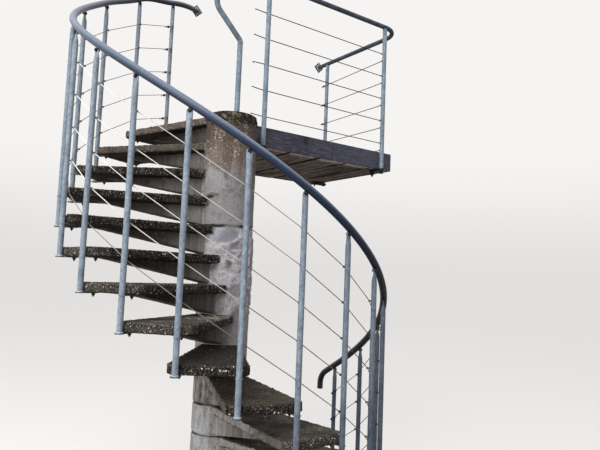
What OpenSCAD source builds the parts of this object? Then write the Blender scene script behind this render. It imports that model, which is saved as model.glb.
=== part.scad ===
// Outdoor helical stair of precast concrete steps around a stacked column,
// with a square landing against a house wall, tube balusters, a bent tube
// handrail and wire rope infill. Millimetres, +Z up. The origin is the centre
// of the column foot, X runs along the wall and +Y points at the wall.

/* [Stair] */
// Height of one step, and of one column drum
riser_h = 180; // [170:1:190]
// Turn of the stair from one step to the next, in degrees
turn_per_step = 16.875; // [16:0.125:17.5]
// Direction of the start post, in degrees from +X
start_turn = 4; // [0:0.5:8]

/* [Steps] */
// Reach of a tread, from the column axis to its outer edge
tread_reach = 976; // [920:1:1040]
// Width of a tread at its outer edge
tread_outer_w = 390; // [360:1:420]
// Width of a tread where it leaves the column
tread_hub_w = 204; // [180:1:240]
// Thickness of a tread
tread_t = 50; // [40:1:65]
// Length cut off each outer corner
corner_cut = 38; // [30:1:60]
// Diameter of the column drum
hub_d = 320; // [310:1:360]
// Distance from the column axis at which the rib runs out
rib_reach = 835; // [700:5:900]
// Width of the rib at the column
rib_hub_w = 140; // [100:1:180]
// Width of the rib at its tip
rib_tip_w = 84; // [60:1:100]
// Bevel round the joint between two drums
drum_bevel = 4; // [2:0.5:6]

/* [Landing] */
// Distance from the column axis to the far side of the landing
landing_side = 1530; // [1400:5:1700]
// Distance from the column axis to the landing's front face
landing_front = 81; // [70:1:100]
// Distance from the baluster axes to the house wall
wall_gap = 134; // [110:1:200]
// Thickness of the landing slab
landing_t = 140; // [120:1:160]
// Height of the landing above the top step
landing_lift = 10; // [6:1:20]
// Thickness of the painted facing on the landing's edge
facing_t = 12; // [8:1:16]
// Distance from the column axis to the joint in the front facing
facing_joint = 915; // [800:5:1000]
// Height of the mortar cap on the column
cap_h = 8; // [5:1:15]

/* [Guard] */
// Distance from a tread's outer edge to the baluster axes
guard_offset = 27; // [24:1:60]
// Outside diameter of a baluster
baluster_d = 30; // [26:1:34]
// Outside diameter of the landing posts
post_d = 34; // [30:1:38]
// Outside diameter of the stair handrail
rail_d = 42; // [38:1:48]
// Outside diameter of the landing handrail
landing_rail_d = 36; // [34:1:40]
// Height of the stair handrail's axis above the tread behind the post
rail_height = 1235; // [1180:5:1280]
// Height of the landing handrail's axis above the landing
landing_rail_height = 1023; // [980:1:1060]
// Diameter of the wire rope
cable_d = 5; // [4:0.5:7]
// Height of the lowest stair rope above the tread behind the post
lowest_cable = 291.5; // [270:0.5:320]
// Spacing of the landing's wire ropes
landing_cable_spacing = 184.5; // [176:0.5:188]
// Thickness of the flat bars under the treads
bracket_t = 6; // [5:0.5:10]
// Side of a square wall plate
plate_side = 76; // [70:1:90]

/* [Hidden] */
step_count = 16;
post_count = step_count + 1;
seat = 0.3;
cable_count = 5;
// Stair ropes share out the height between the lowest one and the handrail
cable_spacing = (rail_height - rail_d / 2 - lowest_cable) / cable_count;
hub_r = hub_d / 2;
guard_r = tread_reach + guard_offset;
wall_y = guard_r + wall_gap;
landing_z = riser_h * step_count + landing_lift;
under_z = landing_z - landing_t;

// Colours of the finished surfaces
concrete_dark = [0.33, 0.30, 0.27];
concrete_pale = [0.62, 0.59, 0.55];
slate_paint = [0.28, 0.27, 0.32];
blue_grey = [0.52, 0.60, 0.68];
steel_wire = [0.72, 0.70, 0.64];

// Direction of a step's middle line and of a post, seen from the column
function step_turn(n) = start_turn - turn_per_step * (n - 0.5);
// The two posts at the top stand a little further round than their treads
top_posts_turn = -2.2;
turned_posts = 2;
function post_turn(k) = start_turn - turn_per_step * (k - 1)
    + (k > post_count - turned_posts ? top_posts_turn : 0);

// Plan of a tread, with its middle line along +X
module tread_plan() {
    w0 = tread_hub_w / 2;
    w1 = tread_outer_w / 2;
    c = corner_cut;
    polygon([
        [0, -w0], [tread_reach - c, -w1], [tread_reach, c - w1],
        [tread_reach, w1 - c], [tread_reach - c, w1], [0, w0]
    ]);
}

// Rib under a tread: full drum height at the column, running out under the tread
module tread_rib() {
    intersection() {
        translate([0, tread_outer_w / 2, 0])
            rotate([90, 0, 0])
                linear_extrude(height = tread_outer_w)
                    polygon([
                        [0, -tread_t / 2], [rib_reach, -tread_t / 2], [rib_reach, -tread_t - 2],
                        [hub_r * 0.9, drum_bevel - riser_h], [0, drum_bevel - riser_h]
                    ]);
        translate([0, 0, -riser_h])
            linear_extrude(height = riser_h)
                polygon([
                    [0, -rib_hub_w / 2], [rib_reach + 1, -rib_tip_w / 2],
                    [rib_reach + 1, rib_tip_w / 2], [0, rib_hub_w / 2]
                ]);
    }
}

// Column drum with bevelled joint edges, its top at z = 0
module drum() {
    translate([0, 0, -riser_h])
        rotate_extrude()
            polygon([
                [0, 0], [hub_r - drum_bevel, 0], [hub_r, drum_bevel],
                [hub_r, riser_h - drum_bevel], [hub_r - drum_bevel, riser_h], [0, riser_h]
            ]);
}

// One step: drum, tread and rib are a single casting
module step(n) {
    color(concrete_dark)
        translate([0, 0, riser_h * n])
            rotate([0, 0, step_turn(n)])
                union() {
                    drum();
                    translate([0, 0, -tread_t])
                        linear_extrude(height = tread_t)
                            tread_plan();
                    tread_rib();
                }
}

module column_cap() {
    color(concrete_dark)
        translate([0, 0, riser_h * step_count])
            cylinder(h = cap_h, r1 = hub_r - drum_bevel, r2 = hub_r - 2 * drum_bevel);
}

// Gap of the mortar joint between the top step and the landing
step_joint = 6;
// Corner of the top step beside the landing, turned into the stair's frame
top_dir = step_turn(step_count);
function from_top_step(x, y) = [x * cos(top_dir) - y * sin(top_dir), x * sin(top_dir) + y * cos(top_dir)];
top_edge_in = from_top_step(0, -tread_hub_w / 2 - step_joint);
top_edge_out = from_top_step(tread_reach - corner_cut, -tread_outer_w / 2 - step_joint);

// Outline of the landing, drawn in by d from its free edges
module landing_plan(d) {
    difference() {
        polygon([
            [top_edge_in[0], landing_front + d],
            [landing_side - d, landing_front + d], [landing_side - d, wall_y],
            [max(top_edge_out[0], 4), wall_y], [max(top_edge_out[0], 4), top_edge_out[1]],
            top_edge_in + (top_edge_out - top_edge_in) * 0.05
        ]);
        circle(r = hub_r + seat);
    }
}

module landing_slab() {
    color(concrete_pale)
        translate([0, 0, under_z])
            linear_extrude(height = landing_t)
                landing_plan(facing_t);
}

// Painted facing boards on the front and the far side
module landing_facing() {
    gap = 1;
    start_x = sqrt(pow(hub_r + seat, 2) - pow(landing_front, 2)) + 3;
    color(slate_paint)
        translate([0, 0, under_z]) {
            translate([start_x, landing_front, 0])
                cube([facing_joint - start_x - gap, facing_t, landing_t]);
            translate([facing_joint, landing_front, 0])
                cube([landing_side - facing_joint, facing_t, landing_t]);
            translate([landing_side - facing_t, landing_front + facing_t + gap, 0])
                cube([facing_t, wall_y - landing_front - facing_t - gap, landing_t]);
        }
}

// Bolts, and the eye studs that the wire ropes meet
bolt_d = 10;
stud_d = 8;
stud_len = 8;
cable_r = guard_r - baluster_d / 2 - stud_len - cable_d / 2;

function foot_z(k) = k == 1 ? bracket_t : riser_h * (k - 1) - tread_t;
rail_slope = atan(riser_h / (guard_r * turn_per_step * PI / 180));
// Rise of the handrail over its last bay, and its slope there
top_bay_rise = 79;
top_bay_end = 65;
top_slope = atan(top_bay_end / (guard_r * turn_per_step * PI / 180));
function rail_z(k) = k < post_count
    ? riser_h * (k - 1) + rail_height
    : riser_h * (k - 2) + rail_height + top_bay_rise;

// A round bar along +Z whose top is cut at a slope, so that it seats under the rail
module cut_tube(d, h, slope) {
    difference() {
        cylinder(h = h + d, d = d);
        translate([0, 0, h])
            rotate([-slope, 0, 0])
                translate([-2 * d, -2 * d, 0])
                    cube([4 * d, 4 * d, 4 * d]);
    }
}

// Cuts that press a baluster's head flat, down to a tongue that is bolted below the rail
tongue_t = 9;
tongue_l = 30;
tongue_neck = 28;
module head_cuts(top) {
    for (side = [-1, 1])
        translate([0, 0, top])
            rotate([90, 0, 0])
                linear_extrude(height = 2 * baluster_d, center = true)
                    polygon([
                        [side * tongue_t / 2, baluster_d], [side * tongue_t / 2, -tongue_l],
                        [side * (baluster_d / 2 + 1), -tongue_l - tongue_neck],
                        [side * baluster_d, baluster_d]
                    ]);
}

module baluster(k) {
    slope = k < post_count ? rail_slope : top_slope;
    top = rail_z(k) - (rail_d / 2 + seat) / cos(slope);
    rotate([0, 0, post_turn(k)])
        translate([guard_r, 0, 0]) {
            difference() {
                translate([0, 0, foot_z(k)])
                    cut_tube(baluster_d, top - foot_z(k), slope);
                head_cuts(top);
            }
            for (j = [1:cable_count])
                translate([0, 0, rail_z(k) - rail_d / 2 - j * cable_spacing])
                    rotate([0, -90, 0])
                        cylinder(h = baluster_d / 2 + stud_len + cable_d, d = stud_d, $fn = 12);
            if (k == 1)
                cylinder(h = bracket_t, d = baluster_d + 20);
        }
}

module balusters(first, last) {
    color(blue_grey)
        for (k = [first:last])
            baluster(k);
}

// Flat bar under a tread corner: it carries the foot of the post that starts there
bracket_reach = 96;
nut_at = 20;

module foot_bracket(k) {
    in = bracket_reach;
    translate([0, 0, riser_h * (k - 1) - tread_t - bracket_t])
        rotate([0, 0, post_turn(k)])
            union() {
                translate([guard_r, 0, 0])
                    cylinder(h = bracket_t, d = baluster_d + 16);
                translate([guard_r - in, -15, 0])
                    cube([in, 30, bracket_t]);
                translate([guard_r - in + nut_at, 0, -18])
                    cylinder(h = 18, d = bolt_d);
                translate([guard_r - in + nut_at, 0, -9])
                    cylinder(h = 9, d = 18, $fn = 6);
            }
}

module foot_brackets() {
    color(blue_grey)
        for (k = [2:post_count])
            foot_bracket(k);
}

// Flat bar with an eye: it ties the front corner of a tread to the post that passes it
module clamp_bracket(k) {
    in = bracket_reach;
    translate([0, 0, riser_h * k - tread_t - bracket_t])
        rotate([0, 0, post_turn(k)])
            difference() {
                union() {
                    translate([guard_r, 0, 0])
                        cylinder(h = bracket_t, d = baluster_d + 7);
                    translate([guard_r - in, -13, 0])
                        cube([in, 26, bracket_t]);
                    translate([guard_r - in + nut_at, 0, -16])
                        cylinder(h = 16, d = bolt_d);
                    translate([guard_r - in + nut_at, 0, -9])
                        cylinder(h = 9, d = 18, $fn = 6);
                }
                translate([guard_r, 0, -bracket_t])
                    cylinder(h = 3 * bracket_t, d = baluster_d + 2 * seat);
            }
}

module clamp_brackets() {
    color(blue_grey)
        for (k = [1:step_count])
            clamp_bracket(k);
}

// Stair handrail: one bent tube, swept along computed points
rail_sides = 14;
bay_parts = 5;
free_straight = 120;
free_bend_r = 110;
free_drop = 40;
plate_t = 6;
rail_end_x = 237;
plate_rise = 64;
rail_end_z = rail_z(post_count) + plate_rise;

function polar(r, a, z) = [r * cos(a), r * sin(a), z];
function ease(t) = t * t * (3 - 2 * t);
// Point of the helix after s bays, with its sideways direction
function helix_turn(s) = start_turn - turn_per_step * s
    + top_posts_turn * ease(max(0, min(1, s - step_count + turned_posts)));
function last_bay(t) = (t * t * t - 2 * t * t + t) * riser_h
    + (3 * t * t - 2 * t * t * t) * top_bay_rise
    + (t * t * t - t * t) * top_bay_end;
function helix_z(s) = rail_height + (s <= step_count - 1
    ? riser_h * s
    : riser_h * (step_count - 1) + last_bay(s - step_count + 1));
function helix_point(s) = polar(guard_r, helix_turn(s), helix_z(s));

// Free end below the start post: straight, bend, drop
start_side = [cos(start_turn), sin(start_turn), 0];
start_along = [-sin(start_turn), cos(start_turn), 0];
function free_point(u, w) = helix_point(0) + start_along * u - [0, 0, w];
bend_u = free_straight * cos(rail_slope);
bend_w = free_straight * sin(rail_slope);

// Run from the top post to the wall plate
wall_run_0 = helix_point(step_count);
wall_run_1 = [rail_end_x, wall_y - plate_t, rail_end_z];
wall_dir_0 = [cos(helix_turn(step_count) - 90), sin(helix_turn(step_count) - 90), tan(top_slope)] * 300;
wall_dir_1 = [0.8, 0.6, 0.2] * 300;
function hermite(p0, m0, p1, m1, t) =
    p0 * (2 * t * t * t - 3 * t * t + 1) + m0 * (t * t * t - 2 * t * t + t)
    + p1 * (3 * t * t - 2 * t * t * t) + m1 * (t * t * t - t * t);

rail_path = concat(
    [free_point(
        bend_u + free_bend_r * (1 - sin(rail_slope)),
        bend_w + free_bend_r * cos(rail_slope) + free_drop)],
    [for (i = [6:-1:0])
        let (a = rail_slope + (90 - rail_slope) * i / 6)
            free_point(
                bend_u + free_bend_r * (sin(a) - sin(rail_slope)),
                bend_w + free_bend_r * (cos(rail_slope) - cos(a)))],
    [for (i = [0:step_count * bay_parts]) helix_point(i / bay_parts)],
    [for (i = [1:8]) hermite(wall_run_0, wall_dir_0, wall_run_1, wall_dir_1, i / 8)]
);

function unit(v) = v / norm(v);
function path_dir(p, i) = unit(p[min(i + 1, len(p) - 1)] - p[max(i - 1, 0)]);
// The sideways direction is level all along, also where the tube hangs straight down
function path_side(p, i) =
    let (d = path_dir(p, i))
        abs(d[2]) > 0.98 ? -start_side : unit(cross(d, [0, 0, 1]));
function ring(p, i, r) =
    let (d = path_dir(p, i), s = path_side(p, i), u = cross(s, d), last = i == len(p) - 1)
        [for (k = [0:rail_sides - 1])
            let (q = p[i] + r * (s * cos(360 * k / rail_sides) + u * sin(360 * k / rail_sides)))
                last ? q + d * ((wall_y - plate_t - q[1]) / d[1]) : q];

module swept_tube(p, r) {
    n = rail_sides;
    m = len(p);
    points = [for (i = [0:m - 1]) each ring(p, i, r)];
    faces = concat(
        [[for (k = [0:n - 1]) k]],
        [for (i = [0:m - 2]) for (k = [0:n - 1]) [i * n + k, (i + 1) * n + k, (i + 1) * n + (k + 1) % n]],
        [for (i = [0:m - 2]) for (k = [0:n - 1]) [i * n + k, (i + 1) * n + (k + 1) % n, i * n + (k + 1) % n]],
        [[for (k = [n - 1:-1:0]) (m - 1) * n + k]]
    );
    polyhedron(points = points, faces = faces, convexity = 10);
}

module stair_handrail() {
    color(blue_grey)
        swept_tube(rail_path, rail_d / 2);
}

// Square plate set on its corner, with a screw hole near each corner
module wall_plate(x, z) {
    hole_d = 7;
    hole_at = plate_side * 0.33;
    color(blue_grey)
        translate([x, wall_y, z])
            rotate([90, 45, 0])
                difference() {
                    translate([-plate_side / 2, -plate_side / 2, 0])
                        cube([plate_side, plate_side, plate_t]);
                    for (sx = [-1, 1], sz = [-1, 1])
                        translate([sx * hole_at, sz * hole_at, -1])
                            cylinder(h = plate_t + 2, d = hole_d, $fn = 24);
                }
}

// Stair wire ropes: straight lengths between the eyes of neighbouring posts
function cable_point(k, j) = polar(cable_r, post_turn(k), rail_z(k) - rail_d / 2 - j * cable_spacing);

module rod(a, b, d) {
    v = b - a;
    translate(a)
        rotate([0, acos(v[2] / norm(v)), atan2(v[1], v[0])])
            cylinder(h = norm(v), d = d);
}

module stair_cable(j) {
    clear = stud_d / 2 + 0.2;
    color(steel_wire)
        for (k = [1:step_count]) {
            a = cable_point(k, j);
            b = cable_point(k + 1, j);
            d = unit(b - a);
            rod(a + d * clear, b - d * clear, cable_d);
        }
}

// Landing guard: its posts stand clear of the slab, and its tube bends round the corner
post_stand_off = 35;
post_y = landing_front - post_stand_off;
side_x = landing_side + post_stand_off;
front_post_x = 272;
corner_post_in = 138;
wall_post_in = 142;
corner_post_x = landing_side - corner_post_in;
wall_post_y = wall_y - wall_post_in;
landing_rail_z = landing_z + landing_rail_height;
post_top = landing_rail_z - landing_rail_d / 2 - seat;
corner_bend_r = side_x - corner_post_x - 10;
newel_x = 55;
loop_x = -133;
loop_r = 90;
loop_top_r = 110;
mitre_drop = 483;
mitre_z = landing_rail_z - mitre_drop;
first_front = 214;
corner_drop = 60;
wall_drop = 10;
first_side_corner = first_front + corner_drop;
first_side_wall = first_front + wall_drop;

// Block that fills the space above a plane through p, tilted by a about Y
cutter = 12 * landing_rail_d;

module above_plane(p, a) {
    translate(p)
        rotate([0, a, 0])
            translate([-cutter / 2, -cutter / 2, 0])
                cube(cutter);
}

module newel_post() {
    base = riser_h * step_count + cap_h;
    color(blue_grey)
        difference() {
            translate([newel_x, post_y, base])
                cylinder(h = mitre_z - base + 60, d = landing_rail_d);
            above_plane([newel_x, post_y, mitre_z], -22.5);
        }
}

// Quarter or part bend of the landing tube in the XY plane, starting on +X
module tube_bend(r, angle) {
    rotate_extrude(angle = angle)
        translate([r, 0])
            circle(d = landing_rail_d);
}

// Slanting tube from the mitred head of the newel up to the rail's left bend
slant_run = newel_x - loop_x - loop_r * (1 - cos(45));

module newel_slant() {
    color(blue_grey)
        difference() {
            translate([newel_x, post_y, mitre_z])
                rotate([0, -45, 0])
                    translate([0, 0, -40])
                        cylinder(h = slant_run * sqrt(2) + 40, d = landing_rail_d);
            translate([newel_x, post_y, mitre_z])
                rotate([0, -22.5, 0])
                    translate([-cutter / 2, -cutter / 2, -cutter])
                        cube(cutter);
        }
}

module landing_handrail() {
    // Left end: bend out of the slant to upright, then bend to level
    upright_z = mitre_z + slant_run + loop_r * sin(45);
    top_bend_z = landing_rail_z - loop_top_r;
    color(blue_grey)
        union() {
            translate([loop_x + loop_r, post_y, upright_z])
                rotate([90, 0, 0])
                    rotate([0, 0, 180])
                        tube_bend(loop_r, 45);
            translate([loop_x, post_y, upright_z])
                cylinder(h = top_bend_z - upright_z, d = landing_rail_d);
            translate([loop_x + loop_top_r, post_y, top_bend_z])
                rotate([90, 0, 0])
                    rotate([0, 0, 90])
                        tube_bend(loop_top_r, 90);
            translate([loop_x + loop_top_r, post_y, landing_rail_z])
                rotate([0, 90, 0])
                    cylinder(h = side_x - corner_bend_r - loop_x - loop_top_r, d = landing_rail_d);
            translate([side_x - corner_bend_r, post_y + corner_bend_r, landing_rail_z])
                rotate([0, 0, -90])
                    tube_bend(corner_bend_r, 90);
            translate([side_x, post_y + corner_bend_r, landing_rail_z])
                rotate([-90, 0, 0])
                    cylinder(h = wall_y - plate_t - post_y - corner_bend_r, d = landing_rail_d);
        }
}

// Upright post beside the slab, with eye studs towards dir at the given drops
module landing_post(x, y, dir, drops) {
    color(blue_grey)
        union() {
            translate([x, y, under_z])
                cylinder(h = post_top - under_z, d = post_d);
            for (drop = drops)
                translate([x, y, landing_rail_z - drop])
                    rotate([0, 90, dir])
                        cylinder(h = post_d / 2 + stud_len, d = stud_d, $fn = 12);
        }
}

front_drops = [for (j = [0:cable_count - 1]) first_front + j * landing_cable_spacing];
side_drops_corner = [for (j = [0:cable_count - 1]) first_side_corner + j * landing_cable_spacing];
side_drops_wall = [for (j = [0:cable_count - 1]) first_side_wall + j * landing_cable_spacing];
rope_y = post_y + post_d / 2 + stud_len + cable_d / 2 + 0.2;
rope_x = side_x - post_d / 2 - stud_len - cable_d / 2 - 0.2;

module landing_post_front() {
    landing_post(front_post_x, post_y, 90, front_drops);
}

module landing_post_corner() {
    landing_post(corner_post_x, post_y, 90, concat(front_drops, side_drops_corner));
}

module landing_post_wall() {
    landing_post(side_x, wall_post_y, 180, side_drops_wall);
}

// Flat bars under the slab that carry the three posts
module landing_bracket(x, y, dir) {
    in = 130;
    wide = 60;
    t = 8;
    translate([x, y, under_z - t])
        rotate([0, 0, dir])
            union() {
                cylinder(h = t, d = post_d + 16);
                translate([0, -wide / 2, 0])
                    cube([in, wide, t]);
                translate([in - 25, 0, -16])
                    cylinder(h = 16, d = bolt_d);
                translate([in - 25, 0, -8])
                    cylinder(h = 8, d = 18, $fn = 6);
            }
}

module landing_brackets() {
    color(blue_grey) {
        landing_bracket(front_post_x, post_y, 90);
        landing_bracket(corner_post_x, post_y, 90);
        landing_bracket(side_x, wall_post_y, 180);
    }
}

module landing_cables_front() {
    color(steel_wire)
        for (drop = front_drops)
            rod(
                [front_post_x - 95, rope_y, landing_rail_z - drop],
                [corner_post_x + 30, rope_y, landing_rail_z - drop],
                cable_d);
}

module landing_cables_side() {
    color(steel_wire)
        for (j = [0:cable_count - 1]) {
            a = [corner_post_x, post_y + post_d / 2 + stud_len + 0.2, landing_rail_z - side_drops_corner[j]];
            b = [rope_x, wall_post_y, landing_rail_z - side_drops_wall[j]];
            rod(a, b + unit(b - a) * 60, cable_d);
        }
}

step(1);  // step_01
step(2);  // step_02
step(3);  // step_03
step(4);  // step_04
step(5);  // step_05
step(6);  // step_06
step(7);  // step_07
step(8);  // step_08
step(9);  // step_09
step(10);  // step_10
step(11);  // step_11
step(12);  // step_12
step(13);  // step_13
step(14);  // step_14
step(15);  // step_15
step(16);  // step_16
column_cap();
landing_slab();
landing_facing();
foot_brackets();
clamp_brackets();
landing_brackets();
balusters(1, 4);  // balusters_lower
balusters(5, 9);  // balusters_front
balusters(10, 13);  // balusters_left
balusters(14, 17);  // balusters_upper
stair_handrail();
wall_plate(rail_end_x, rail_end_z);  // stair_wall_plate
stair_cable(1);  // stair_cable_1
stair_cable(2);  // stair_cable_2
stair_cable(3);  // stair_cable_3
stair_cable(4);  // stair_cable_4
stair_cable(5);  // stair_cable_5
newel_post();
landing_post_front();
landing_post_corner();
landing_post_wall();
newel_slant();
landing_handrail();
wall_plate(side_x, landing_rail_z);  // landing_wall_plate
landing_cables_front();
landing_cables_side();
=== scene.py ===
"""Looks of an outdoor helical stair: precast concrete steps, a landing, a tube guard and wire ropes."""
import math

import bmesh
import bpy
from mathutils import Matrix, Vector


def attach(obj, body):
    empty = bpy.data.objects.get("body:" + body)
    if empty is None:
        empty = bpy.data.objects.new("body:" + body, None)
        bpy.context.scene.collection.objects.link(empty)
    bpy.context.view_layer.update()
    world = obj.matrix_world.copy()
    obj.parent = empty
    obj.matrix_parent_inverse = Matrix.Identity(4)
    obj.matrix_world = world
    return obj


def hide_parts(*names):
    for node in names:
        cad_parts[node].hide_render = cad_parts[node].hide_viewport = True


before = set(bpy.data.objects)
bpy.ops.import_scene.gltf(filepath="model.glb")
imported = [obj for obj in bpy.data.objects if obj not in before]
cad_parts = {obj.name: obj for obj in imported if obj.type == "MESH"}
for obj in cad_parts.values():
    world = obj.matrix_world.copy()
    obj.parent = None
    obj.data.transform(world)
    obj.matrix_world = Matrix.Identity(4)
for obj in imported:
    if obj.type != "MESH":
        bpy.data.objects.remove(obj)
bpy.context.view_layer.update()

# Sizes of the stair in metres and degrees, the same as in its solids
RISER = 0.180
TURN = 16.875
START = 4.0
STEPS = 16
POSTS = 17
TREAD_T = 0.050
HUB_R = 0.160
GUARD_R = 1.003
TUBE_R = 0.015
RAIL_R = 0.021
RAIL_HEIGHT = 1.235
TOP_RISE = 0.079
TOP_END = 0.065
TOP_POSTS_TURN = -2.2
TURNED_POSTS = 2
BAY = GUARD_R * math.radians(TURN)
RAIL_SLOPE = math.atan(RISER / BAY)
TOP_SLOPE = math.atan(TOP_END / BAY)
ROPE_SPACING = 0.1845
ROPE_R = 0.0025
EYE_REACH = 0.008
ROPE_RING = GUARD_R - TUBE_R - EYE_REACH - ROPE_R
WALL_Y = 1.137
PLATE = 0.076
PLATE_T = 0.006
PLATE_FACE = WALL_Y - PLATE_T
RAIL_END = (0.237, PLATE_FACE, 4.078)
LANDING_Z = 2.890
LANDING_T = 0.140
UNDER_Z = LANDING_Z - LANDING_T
LANDING_FRONT = 0.081
LANDING_SIDE = 1.530
FACING_T = 0.012
FACING_JOINT = 0.915
BOARD = 0.260
BOARD_SHIFT = 0.235
LANDING_RAIL_Z = LANDING_Z + 1.023
LANDING_RAIL_R = 0.018
LANDING_POST_R = 0.017
POST_Y = LANDING_FRONT - 0.035
SIDE_X = LANDING_SIDE + 0.035
FRONT_POST_X = 0.272
CORNER_POST_X = LANDING_SIDE - 0.138
WALL_POST_Y = WALL_Y - 0.142
CORNER_BEND_R = SIDE_X - CORNER_POST_X - 0.010
NEWEL_X = 0.055
LOOP_X = -0.133
LOOP_R = 0.090
LOOP_TOP_R = 0.110
MITRE_Z = LANDING_RAIL_Z - 0.483
FIRST_FRONT = 0.214
CORNER_DROP = 0.060
WALL_DROP = 0.010
TREAD_BAR_T = 0.006
SLAB_BAR_T = 0.008
FIT = 0.0003
ROPE_FIT = 0.0002

# Sizes of what the solids leave to the looks
LANDING_ROPE_R = 0.0035
LAY = 0.048
ROPE_RINGS = 0.0064
PAINT_GLOSS = 0.52
STEP_CELL = 0.0088
SLAB_CELL = 0.0125
# Places on the column, as degrees round it and height
BULGE = (-160, 2.43)
CREASED = (-108, 2.42)

X_DIR = Vector((1, 0, 0))
Y_DIR = Vector((0, 1, 0))
UP = Vector((0, 0, 1))


def polar(radius, degrees, z):
    angle = math.radians(degrees)
    return Vector((radius * math.cos(angle), radius * math.sin(angle), z))


def circle(centre, first, second, radius, count):
    """Points round a circle in the plane of two directions."""
    turns = (math.tau * k / count for k in range(count))
    return [centre + radius * (first * math.cos(a) + second * math.sin(a)) for a in turns]


def arc(x, y, z, radius, start, end, second, parts):
    """Points of an arc from start to end degrees, in the plane of X and a second direction."""
    turns = (math.radians(start + (end - start) * i / parts) for i in range(parts + 1))
    return [Vector((x, y, z)) + radius * (X_DIR * math.cos(a) + second * math.sin(a)) for a in turns]


def cubic(t, start, leaving, end, arriving):
    """Smooth run from start to end with its slope given at both ends."""
    return (start * (2 * t ** 3 - 3 * t * t + 1) + leaving * (t ** 3 - 2 * t * t + t)
            + end * (3 * t * t - 2 * t ** 3) + arriving * (t ** 3 - t * t))


def step_turn(step):
    return START - TURN * (step - 0.5)


def post_turn(post):
    return START - TURN * (post - 1) + (TOP_POSTS_TURN if post > POSTS - TURNED_POSTS else 0.0)


def rail_z(post):
    if post < POSTS:
        return RISER * (post - 1) + RAIL_HEIGHT
    return RISER * (post - 2) + RAIL_HEIGHT + TOP_RISE


def outward(post):
    return polar(1, post_turn(post), 0)


def rope_eye(post, rope):
    return polar(ROPE_RING, post_turn(post), rail_z(post) - RAIL_R - rope * ROPE_SPACING)


def srgb(code):
    """Colour from a hex code, as the shaders want it."""
    channels = [int(code[i:i + 2], 16) / 255 for i in (0, 2, 4)]
    return tuple(c / 12.92 if c < 0.04045 else ((c + 0.055) / 1.055) ** 2.4 for c in channels) + (1.0,)


class Value:
    """What a node gives out, reckoned with like a plain number."""

    def __init__(self, wiring, socket):
        self.wiring = wiring
        self.socket = socket

    def __add__(self, other):
        return self.wiring.math("ADD", self, other)

    def __sub__(self, other):
        return self.wiring.math("SUBTRACT", self, other)

    def __rsub__(self, other):
        return self.wiring.math("SUBTRACT", other, self)

    def __mul__(self, other):
        return self.wiring.math("MULTIPLY", self, other)

    def __truediv__(self, other):
        return self.wiring.math("DIVIDE", self, other)

    def __or__(self, other):
        return self.wiring.math("MAXIMUM", self, other)

    def __gt__(self, other):
        return self.wiring.math("GREATER_THAN", self, other)

    def __lt__(self, other):
        return self.wiring.math("LESS_THAN", self, other)

    def __abs__(self):
        return self.wiring.math("ABSOLUTE", self)

    def above(self, low, high):
        """0 below low, 1 above high, smooth between."""
        steps = {0: self, 1: low, 2: high}
        return self.wiring.out("ShaderNodeMapRange", steps, interpolation_type="SMOOTHSTEP")

    def below(self, low, high):
        return 1.0 - self.above(low, high)

    def between(self, low, lower, upper, high):
        return self.above(low, lower) * self.below(upper, high)

    def stray(self, noise, reach):
        """The value, shifted to both sides by a noise."""
        return self + (noise - 0.5) * reach


class Wiring:
    """Adds and links the nodes of one tree."""

    def __init__(self, tree):
        self.tree = tree

    def add(self, kind, sockets=None, **settings):
        node = self.tree.nodes.new(kind)
        for key, value in settings.items():
            setattr(node, key, value)
        for key, value in (sockets or {}).items():
            if isinstance(value, Value):
                self.tree.links.new(value.socket, node.inputs[key])
            else:
                node.inputs[key].default_value = value
        return node

    def out(self, kind, sockets=None, output=0, **settings):
        return Value(self, self.add(kind, sockets, **settings).outputs[output])

    def math(self, operation, a, b=0.0):
        return self.out("ShaderNodeMath", {0: a, 1: b}, operation=operation)

    def vector(self, operation, a, b):
        second = "Scale" if operation == "SCALE" else 1
        return self.out("ShaderNodeVectorMath", {0: a, second: b}, operation=operation)

    def split(self, vector):
        return [Value(self, part) for part in self.add("ShaderNodeSeparateXYZ", {0: vector}).outputs]

    def join(self, x, y, z):
        return self.out("ShaderNodeCombineXYZ", {0: x, 1: y, 2: z})

    def mix(self, amount, a, b, blend="MIX"):
        """The first colour turned into the second by an amount, each a hex code or what a node gives out."""
        a, b = (srgb(colour) if isinstance(colour, str) else colour for colour in (a, b))
        return self.out("ShaderNodeMix", {0: amount, 6: a, 7: b}, 2, data_type="RGBA", blend_type=blend)

    def locate(self, place, normal):
        """Keeps the place and the facing that the whole tree reads."""
        self.place = place
        self.normal = normal
        self.x, self.y, self.z = self.split(place)
        self.normal_x, self.normal_y, self.facing_up = self.split(normal)
        self.radius = self.math("SQRT", self.x * self.x + self.y * self.y)

    def noise(self, scale, detail=4.0, roughness=0.55, stretch=None, shift=None):
        place = self.place
        if stretch:
            place = self.vector("MULTIPLY", place, stretch)
        if shift:
            place = self.vector("ADD", place, shift)
        grain = {"Vector": place, "Scale": scale, "Detail": detail, "Roughness": roughness}
        return self.out("ShaderNodeTexNoise", grain)

    def from_spot(self, turn, z, flat=1.0):
        """Distance from a spot on the column's face, with heights counted flat times."""
        away = self.vector("SUBTRACT", self.place, polar(HUB_R, turn, z))
        away = self.vector("MULTIPLY", away, (1.0, 1.0, flat))
        return self.out("ShaderNodeVectorMath", {0: away}, "Value", operation="LENGTH")

    def patch(self, turn, z, size, flat=1.0, wobble=None):
        """1 in a rounded patch on the column's face, 0 around it."""
        away = self.from_spot(turn, z, flat)
        if wobble:
            away = away.stray(wobble, size * 0.5)
        return away.below(size * 0.82, size * 1.10)


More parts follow.
